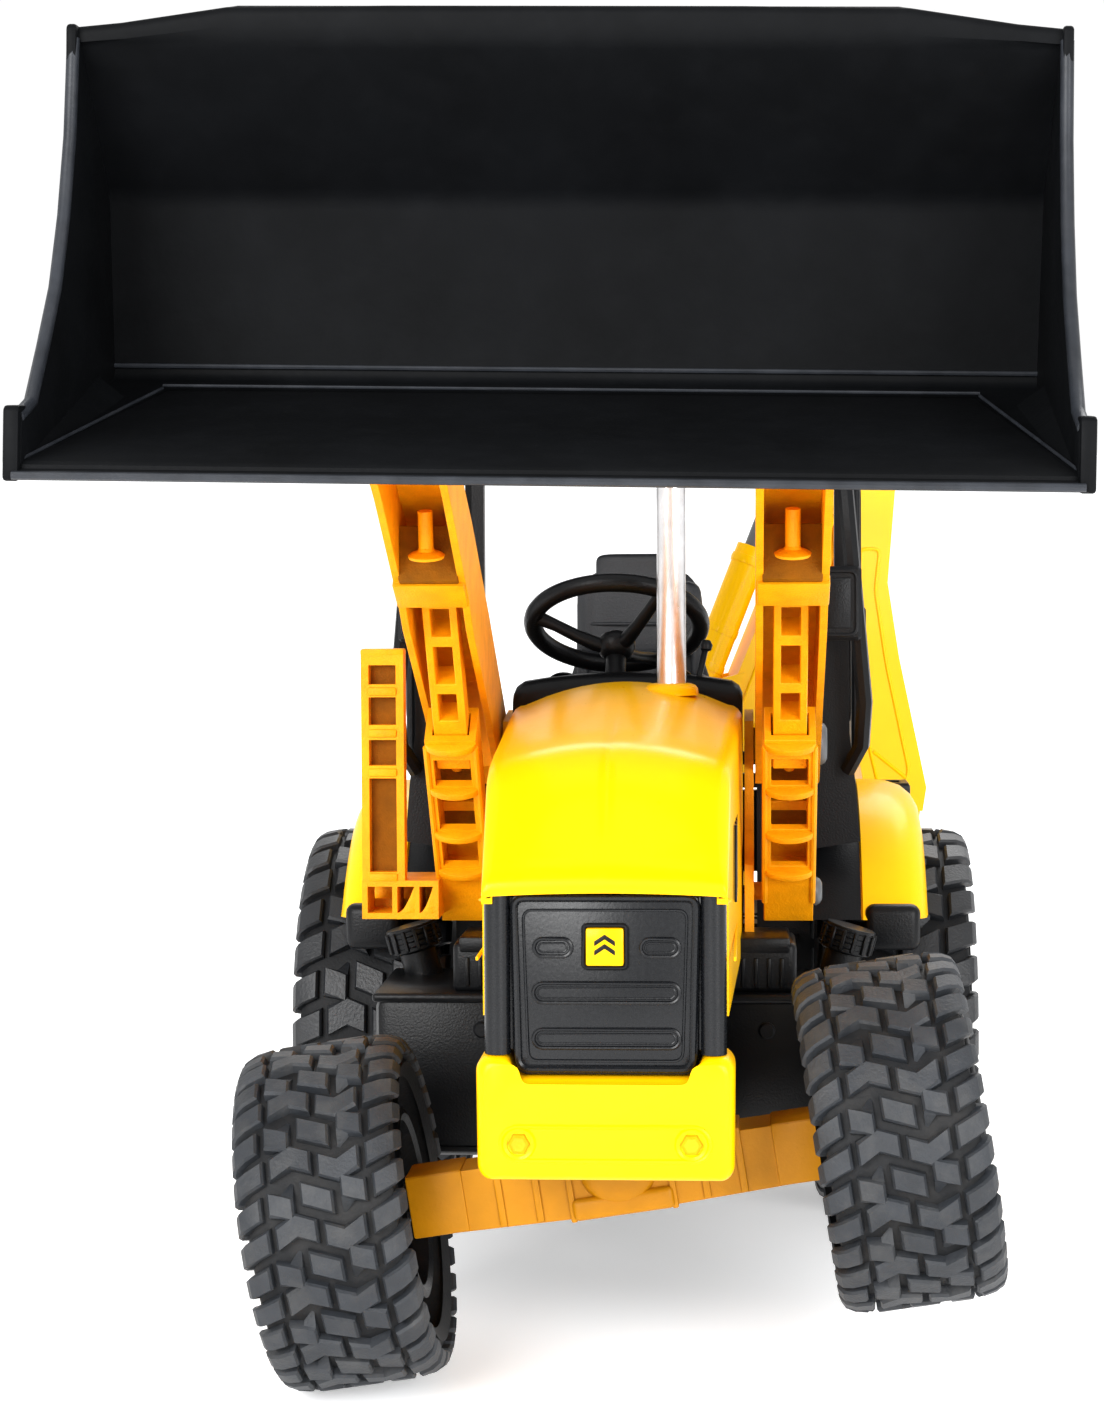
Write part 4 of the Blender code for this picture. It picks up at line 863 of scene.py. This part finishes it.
def make_cab():
    keep("cab_frame", BLACK, 0.45)
    keep("cab_roof", BLACK, 0.5)
    roof = Shape()
    for x in (-33, -11, 11, 33):
        roof.box((x - 2.2, -46, 205.4), (x + 2.2, 38, 206.7), 0.6)
    roof.bead([(x, y, 205.9) for x, y in rounded(rectangle(-50, -52, 50, 44), 6, 5)], 0.8)
    for x in (-46, 46):
        roof.box((x - 6, -60.2, 197.4), (x + 6, -56.6, 204.4), 0.7)
        roof.box((x - 6, 48.6, 197.4), (x + 6, 51.6, 204.4), 0.7)
    roof.finish("roof_ribs", "chassis", BLACK)
    lamps = Shape()
    lens = [(2.9, -0.6), (2.9, 0.3), (2.2, 0.8), (1.0, 1.1), (0, 1.2)]
    for x in (-43.6, 43.6):
        for y, way in ((-60.4, -1), (51.8, 1)):
            lamps.lathe(lens, (x, y, 200.9), (0, way, 0), 24)
    lamps.finish("work_lamps", "chassis", LAMP)
    panel = Shape()
    rows = []
    for y, top in ((-71.4, 138.2), (-70.8, 140.2), (-68.5, 141.6), (-64, 141.8),
                   (-58.5, 139.8), (-54.5, 135), (-52.6, 128), (-52.2, 112)):
        row = [(27.6, y, 79), (27.6, y, 100)]
        for x in (27.6, 26.8, 25, 20, 13, 6):
            row.append((x, y, top - 2.6 * (x / 27.6) ** 2 - (2.6 if x == 27.6 else 0.9 if x == 26.8 else 0)))
        rows.append(row + [(0, y, top)] + [(-x, h, z) for x, h, z in row[::-1]])
    panel.loft(rows, closed=True)
    for x, z in ((-16, 137.4), (11, 138.6)):
        panel.lathe([(0, 1.2), (3.6, 1.2), (4.6, 0.9), (5.0, 0), (0, -0.5)], (x, -57, z), (0, 0.78, 0.62), 28)
    panel.rod((16, -58, 136), (18.5, -54, 147), 0.8)
    knob = [(0, -1.5), (1.3, -1), (1.6, 0.2), (1.1, 1.3), (0, 1.6)]
    panel.lathe(knob, (18.7, -53.8, 147.6), (0, 0.3, 1), 18)
    panel.finish("dashboard_moulding", "chassis", BLACK, ("dashboard",), angle=45)
    floor = Shape()
    for y in (-36, -28, 24, 32):
        floor.box((-38, y, 77.9), (38, y + 2.4, 79.0), 0.4)
    for x in (-9, 9):
        floor.box((x - 3.4, -46.5, 84), (x + 3.4, -43.6, 91), 0.6)
        floor.rod((x, -46, 86), (x, -51, 90), 0.9)
    floor.finish("cab_floor_ribs", "chassis", BLACK)
    for side, end in SIDES:
        keep(f"door_{end}", BLACK, 0.3)
        door = Shape()
        line = ((56.5, -34, 146), (57.7, -34.4, 147.5), (57.7, -34.4, 156), (56.5, -34, 157.5))
        door.tube([(side * x, y, z) for x, y, z in line], 0.8, 10)
        frame_line = rounded(rectangle(-38.4, 128.6, 33.4, 186.4), 4, 5)
        for out in (54.6, 56.6):
            door.bead([(side * out, y, z) for y, z in frame_line], 0.55)
        for z in (126, 158, 182):
            door.rod((side * 56.9, 37.2, z - 3), (side * 56.9, 37.2, z + 3), 1.3)
        door.finish(f"door_fittings_{end}", f"door_{end}", BLACK)
        keep(f"grab_handle_{end}", BLACK, 0.5)
        mirror = Shape()
        low, high = sorted((side * 45.2, side * 55.2))
        mirror.bead([(x, -61.6, z) for x, z in rounded(rectangle(low, 150.4, high, 165.8), 2, 4)], 0.5)
        mirror.box((low + 1.4, -61.9, 152), (high - 1.4, -61.2, 164.2), 0.3)
        mirror.finish(f"mirror_back_{end}", "chassis", BLACK)
        glass = Shape()
        glass.box((low + 0.6, -57.1, 150.6), (high - 0.6, -56.7, 165.6), 0.15)
        glass.finish(f"mirror_glass_{end}", "chassis", CHROME)


# ---------------------------------------------------------------- chassis


def over_wheel(side, section):
    """Rows of a section of x and radius, carried over the rear wheel and cut level at the foot."""
    _, y, z = REAR_HUB
    return [[(side * x, y + r * cos(a), max(80.2, z + r * sin(a))) for x, r in section]
            for a in (radians(150 - 5 * k) for k in range(25))]


def make_fenders():
    skin = [(56.2, 60.6), (57.0, 62), (61, 62.0), (65, 61.6), (68.6, 60.4), (71.2, 58.2), (72.8, 55.4),
            (73.4, 52.4), (73.2, 50.8), (71.8, 50.8), (71.6, 53.0), (70, 56), (67.4, 58.2), (63, 59.6),
            (57.8, 60.0), (56.2, 59.8)]
    under = [(44.6, 61.6), (50, 61.7), (56.6, 61.2), (60, 59.8), (65, 58.9), (69, 57.0), (71.0, 54.9),
             (71.4, 52.4), (70.2, 52.2), (68.8, 54.2), (65.5, 56.2), (60, 57.6), (52, 58.2), (44.6, 58.3)]
    lamp_y, lamp_z = 62 * cos(radians(33)), REAR_HUB[2] + 62 * sin(radians(33))
    for side, end in SIDES:
        shape = Shape()
        shape.loft(over_wheel(side, skin))
        shape.finish(f"fender_shell_{end}", "chassis", YELLOW, (f"fender_{end}",), angle=40)
        liner = Shape()
        liner.loft(over_wheel(side, under))
        for y in (-51.5, 51.5):
            liner.box((side * 57.4, y - 3.0, 72.6), (side * 71.0, y + 2.6, 84), 2.4, 4)
        liner.finish(f"fender_liner_{end}", "chassis", BLACK)
        lamp = Shape()
        lamp.box((side * 52, lamp_y - 2.4, lamp_z - 2.8), (side * 68, lamp_y + 1.4, lamp_z + 2.6), 0.7)
        lamp.finish(f"tail_lamp_{end}", "chassis", RED_LENS)


def make_tanks():
    plug = [(0, 0.9), (1.5, 0.9), (2.0, 0.3), (2.0, -0.5), (0, -0.5)]
    for side, end in SIDES:
        keep(f"side_tank_{end}", BLACK, 0.5)
        trim = Shape()
        trim.box((side * 21.4, -100.6, 66.2), (side * 58.6, -55.4, 68.4), 0.9, 3)
        trim.box((side * 21.4, -100.5, 31.2), (side * 58.6, -55.5, 32.6))
        for y in (-85, -71):
            trim.box((side * 58.1 - 0.6, y - 1.5, 33), (side * 58.1 + 0.6, y + 1.5, 66.6), 0.4)
        trim.lathe(plug, (side * 33, -100.1, 60), (0, -1, 0), 20)
        for k in range(4):
            spot = (side * (51.9 + k * 0.45), -64, 75.4 + k * 1.25)
            trim.lathe([(5.9, -0.35), (6.5, 0), (5.9, 0.35)], spot, (side * 0.29, 0, 0.96), 24, True)
        filler = Matrix.Translation((side * 52.85, -64, 77)) @ spin_frame((side * 0.275, 0, 0.96))
        for a in turns(14):
            trim.box((5.7, -0.5, -2.6), (6.7, 0.5, 2.4), 0.2, 1, filler @ Matrix.Rotation(a, 4, "Z"))
        trim.finish(f"tank_trim_{end}", "chassis", BLACK)


def make_axle():
    keep("front_axle_beam", AXLE_YELLOW, 0.7)
    shape = Shape(AXLE)
    for x in (-26, -18, 18, 26):
        shape.prism(rectangle(-157.7, 30.2, -142.3, 44.2), x - 0.8, x + 0.8, "X", 0.4)
    for side in (-1, 1):
        shape.box((side * 33.4, -157.6, 30.4), (side * 45.6, -156.0, 43.6))
        shape.box((side * 33.4, -157.4, 42.2), (side * 45.6, -142.6, 43.8))
    boss = [(0, 9.6), (5.4, 9.6), (7.6, 8.8), (8.6, 7.4), (8.6, 0), (0, 0)]
    shape.lathe(boss, (0, -150, 40), (0, -1, 0), 36)
    shape.box((-11, -158.6, 29.2), (11, -141.4, 34), 1.2, 3)
    shape.box((-11.6, -157.8, 29.0), (-10.2, -142.2, 45.5), 0.4)
    shape.box((10.2, -157.8, 29.0), (11.6, -142.2, 45.5), 0.4)
    shape.finish("axle_ribs", "front_axle", AXLE_YELLOW)
    for side, end in SIDES:
        keep(f"steering_knuckle_{end}", GREY, 0.4)
        coil = Shape(AXLE)
        _, y, z = FRONT_HUB
        line = [(side * (46.4 + 5.2 * k / 60), y + 3.5 * cos(0.62 * k), z + 3.5 * sin(0.62 * k))
                for k in range(61)]
        coil.tube(line, 0.42, 6)
        coil.finish(f"axle_spring_{end}", f"steering_knuckle_{end}", COPPER)
        sleeve = Shape(AXLE)
        sleeve.rod((side * (48.2 if side > 0 else 46.4), -150, 37), (side * 52.4, -150, 37), 4.1)
        sleeve.finish(f"hub_sleeve_{end}", f"steering_knuckle_{end}", GREY)
    keep("tie_rod", GREY, 0.3)


def make_chassis():
    keep("chassis_frame", BLACK, 0.6)
    keep("rear_axle_shaft", STEEL, 0.4)
    keep("backhoe_slide_frame", BLACK, 0.5)
    keep("slide_carriage", ARM, 0.5)
    keep("kingpost", ARM, 0.5)
    plate = Shape()
    for x in (-46, -18, 18, 46):
        plate.box((x - 1.2, 60.0, 58), (x + 1.2, 61.6, 83), 0.4)
    bolt = [(0, 1.4), (1.6, 1.4), (2.2, 0.9), (2.2, -0.3), (0, -0.3)]
    for x in (-52, 52):
        for z in (46.5, 98):
            plate.lathe(bolt, (x, 60.4, z), (0, 1, 0), 6)
    plate.finish("slide_frame_ribs", "chassis", BLACK)
    battery = Shape()
    for side in (-1, 1):
        battery.box((side * 21.2, -97, 68.0), (side * 40, -74.5, 80), 1.6, 3)
        battery.box((side * 22.7, -97.4, 77.4), (side * 38.5, -76, 81.2), 0.8)
        for x in sorted(side * (24.6 + k * 3) for k in range(5)):
            battery.box((x - 0.5, -97.7, 69.6), (x + 0.5, -96.8, 76.4), 0.25)
    battery.finish("battery_boxes", "chassis", BLACK)
    for side, end in SIDES:
        keep(f"stabiliser_leg_{end}", ARM, 0.4)
        pad = Shape()
        for x in (-6, 0, 6):
            pad.box((side * 67 + x - 0.9, 53.2, 23.6), (side * 67 + x + 0.9, 72.4, 24.8), 0.3)
        pad.finish(f"stabiliser_pad_{end}", f"stabiliser_leg_{end}", BLACK)
        guide = Shape()
        for z in (46, 102.4):
            for y in (55.1, 67.6):
                guide.box((side * 59.5, y, z), (side * 74.3, y + 2.9, z + 3.2))
        guide.finish(f"leg_guide_bands_{end}", "chassis", BLACK)


# ---------------------------------------------------------------- backhoe


def make_backhoe():
    for name in ("boom", "dipper"):
        keep(name, YELLOW, 0.7)
    for name in ("boom_barrel", "dipper_barrel"):
        keep(name, YELLOW, 0.4)
    for name in ("boom_rod", "dipper_rod"):
        keep(name, GREY, 0.3)
    keep("backhoe_bucket", BUCKET, 0.4)

    def beads(shape, outline, corner):
        """A raised line round the hollow on each side of an arm."""
        for v in (-6.0, 6.0):
            shape.bead([(u, v, z) for u, z in rounded(outline, corner)], 0.55)

    boom = Shape(POST)
    beads(boom, [(31, 112), (40, 118), (56, 158), (66, 184), (62.5, 186), (51, 162), (39, 132)], 2.5)
    for u, z, r in ((73.5, 208, 5.2), (54, 116, 3.4), (24, 128, 3.2)):
        cap = [(0, 1.3), (r - 1.2, 1.3), (r - 0.4, 0.9), (r, 0.2), (r, -0.4), (0, -0.4)]
        for side in (-1, 1):
            boom.lathe(cap, (u, side * 6.6, z), (0, side, 0), 24)
    boom.finish("boom_mouldings", "boom", YELLOW)
    dipper = Shape(POST)
    hollow = [(73, 172), (79, 172), (77.6, 160), (81, 138), (88, 106), (84, 96), (80, 96),
              (76, 112), (72, 150)]
    beads(dipper, hollow, 2)
    for v in (-5.9, 5.9):
        dipper.tube([(77, v, 112), (87, v, 104)], 0.6, 8)
    dipper.finish("dipper_mouldings", "dipper", YELLOW)
    for word, foot, head, length, r in (("boom", (28, 0, 57), (54, 0, 116), 41.5, 4.4),
                                        ("dipper", (24, 0, 128), (64, 0, 227), 48, 4.9)):
        bands = Shape(POST)
        way = (Vector(head) - Vector(foot)).normalized()
        for t, wide in ((10.5, 0.3), (22, 0.2), (length - 4.2, 0.4)):
            ring = [(r - 0.6, -1.4), (r + wide * 0.6, -1.2), (r + wide, 0),
                    (r + wide * 0.6, 1.2), (r - 0.6, 1.4)]
            bands.lathe(ring, Vector(foot) + way * t, way, 28, True)
        bands.finish(f"{word}_ram_bands", f"{word}_barrel", YELLOW)
    teeth = Shape(POST)
    tooth = [(70, 40.2), (65.4, 41.2), (60.6, 43.6), (65.2, 43.5), (70, 42.6)]
    for v in (-10.5, -3.5, 3.5, 10.5):
        teeth.prism(tooth, v - 1.3, v + 1.3, "Y", 0.35)
    for v in (-12.9, 12.9):
        teeth.tube([(72, v, 55), (67.6, v, 42.2)], 0.6, 8)
    teeth.finish("backhoe_bucket_teeth", "backhoe_bucket", BUCKET)


make_arms()
make_steering_wheel()
make_seat()
make_cab()
make_fenders()
make_tanks()
make_axle()
make_chassis()
make_backhoe()


# ---------------------------------------------------------------- floor, light, camera


def stage():
    """A pale floor through the rear tyres' and the lower front tyre's contact lines."""
    pitch = atan2(10.4, 150)
    mesh = bpy.data.meshes.new("floor")
    bm = bmesh.new()
    bmesh.ops.create_grid(bm, x_segments=2, y_segments=2, size=6)
    bm.to_mesh(mesh)
    bm.free()
    floor = bpy.data.objects.new("floor", mesh)
    floor.matrix_world = Matrix.Translation((0, 0.0971, 0.0097)) @ Matrix.Rotation(pitch, 4, "X")
    bpy.context.scene.collection.objects.link(floor)
    pale = moulded("floor_pale", (0.93, 0.935, 0.945), 0.55, grain=0.02, grain_mm=6, mottle=0.01,
                   broad_mm=300, specular=0.25)
    shader = next(node for node in pale.node_tree.nodes if node.type == "BSDF_PRINCIPLED")
    shader.inputs["Emission Color"].default_value = (1, 1, 1, 1)
    shader.inputs["Emission Strength"].default_value = 0.38
    mesh.materials.append(pale)


def soft_light(name, where, target, size, power, colour=(1, 1, 1)):
    data = bpy.data.lights.new(name, "AREA")
    data.shape = "RECTANGLE"
    data.size, data.size_y = size
    data.energy = power
    data.color = colour
    lamp = bpy.data.objects.new(name, data)
    way = Vector(target) - Vector(where)
    lamp.matrix_world = Matrix.Translation(where) @ (-way).to_track_quat("Z", "Y").to_matrix().to_4x4()
    bpy.context.scene.collection.objects.link(lamp)


def make_light():
    world = bpy.data.worlds.new("studio")
    world.use_nodes = True
    sky = world.node_tree.nodes["Background"]
    sky.inputs["Color"].default_value = (1, 1, 1, 1)
    sky.inputs["Strength"].default_value = 1.02
    bpy.context.scene.world = world
    soft_light("key", (-0.55, -1.25, 0.55), (0, -0.1, 0.1), (0.7, 0.6), 21)
    soft_light("fill", (0.75, -1.15, 0.42), (0, -0.1, 0.08), (0.6, 0.6), 13)
    soft_light("back", (0.2, 1.0, 1.1), (0, 0.05, 0.12), (1.2, 0.6), 12)


def make_camera():
    data = bpy.data.cameras.new("camera")
    data.lens = 76.7
    data.sensor_width = 36
    data.clip_start = 0.01
    data.clip_end = 30
    cam = bpy.data.objects.new("camera", data)
    turn = (Matrix.Rotation(radians(3.75), 3, "Z") @ Matrix.Rotation(radians(-2.6), 3, "X")
            @ Matrix.Rotation(radians(0.33), 3, "Y"))
    right, ahead, up = (turn @ Vector(v) for v in ((1, 0, 0), (0, 1, 0), (0, 0, 1)))
    basis = Matrix((right, up, -ahead)).transposed().to_4x4()
    cam.matrix_world = Matrix.Translation((0.029, -0.6929, 0.17717)) @ basis
    bpy.context.scene.collection.objects.link(cam)
    bpy.context.scene.camera = cam


stage()
make_light()
make_camera()
bpy.context.scene.view_settings.view_transform = "Standard"
bpy.context.scene.view_settings.look = "None"
bpy.context.scene.view_settings.exposure = 0.0
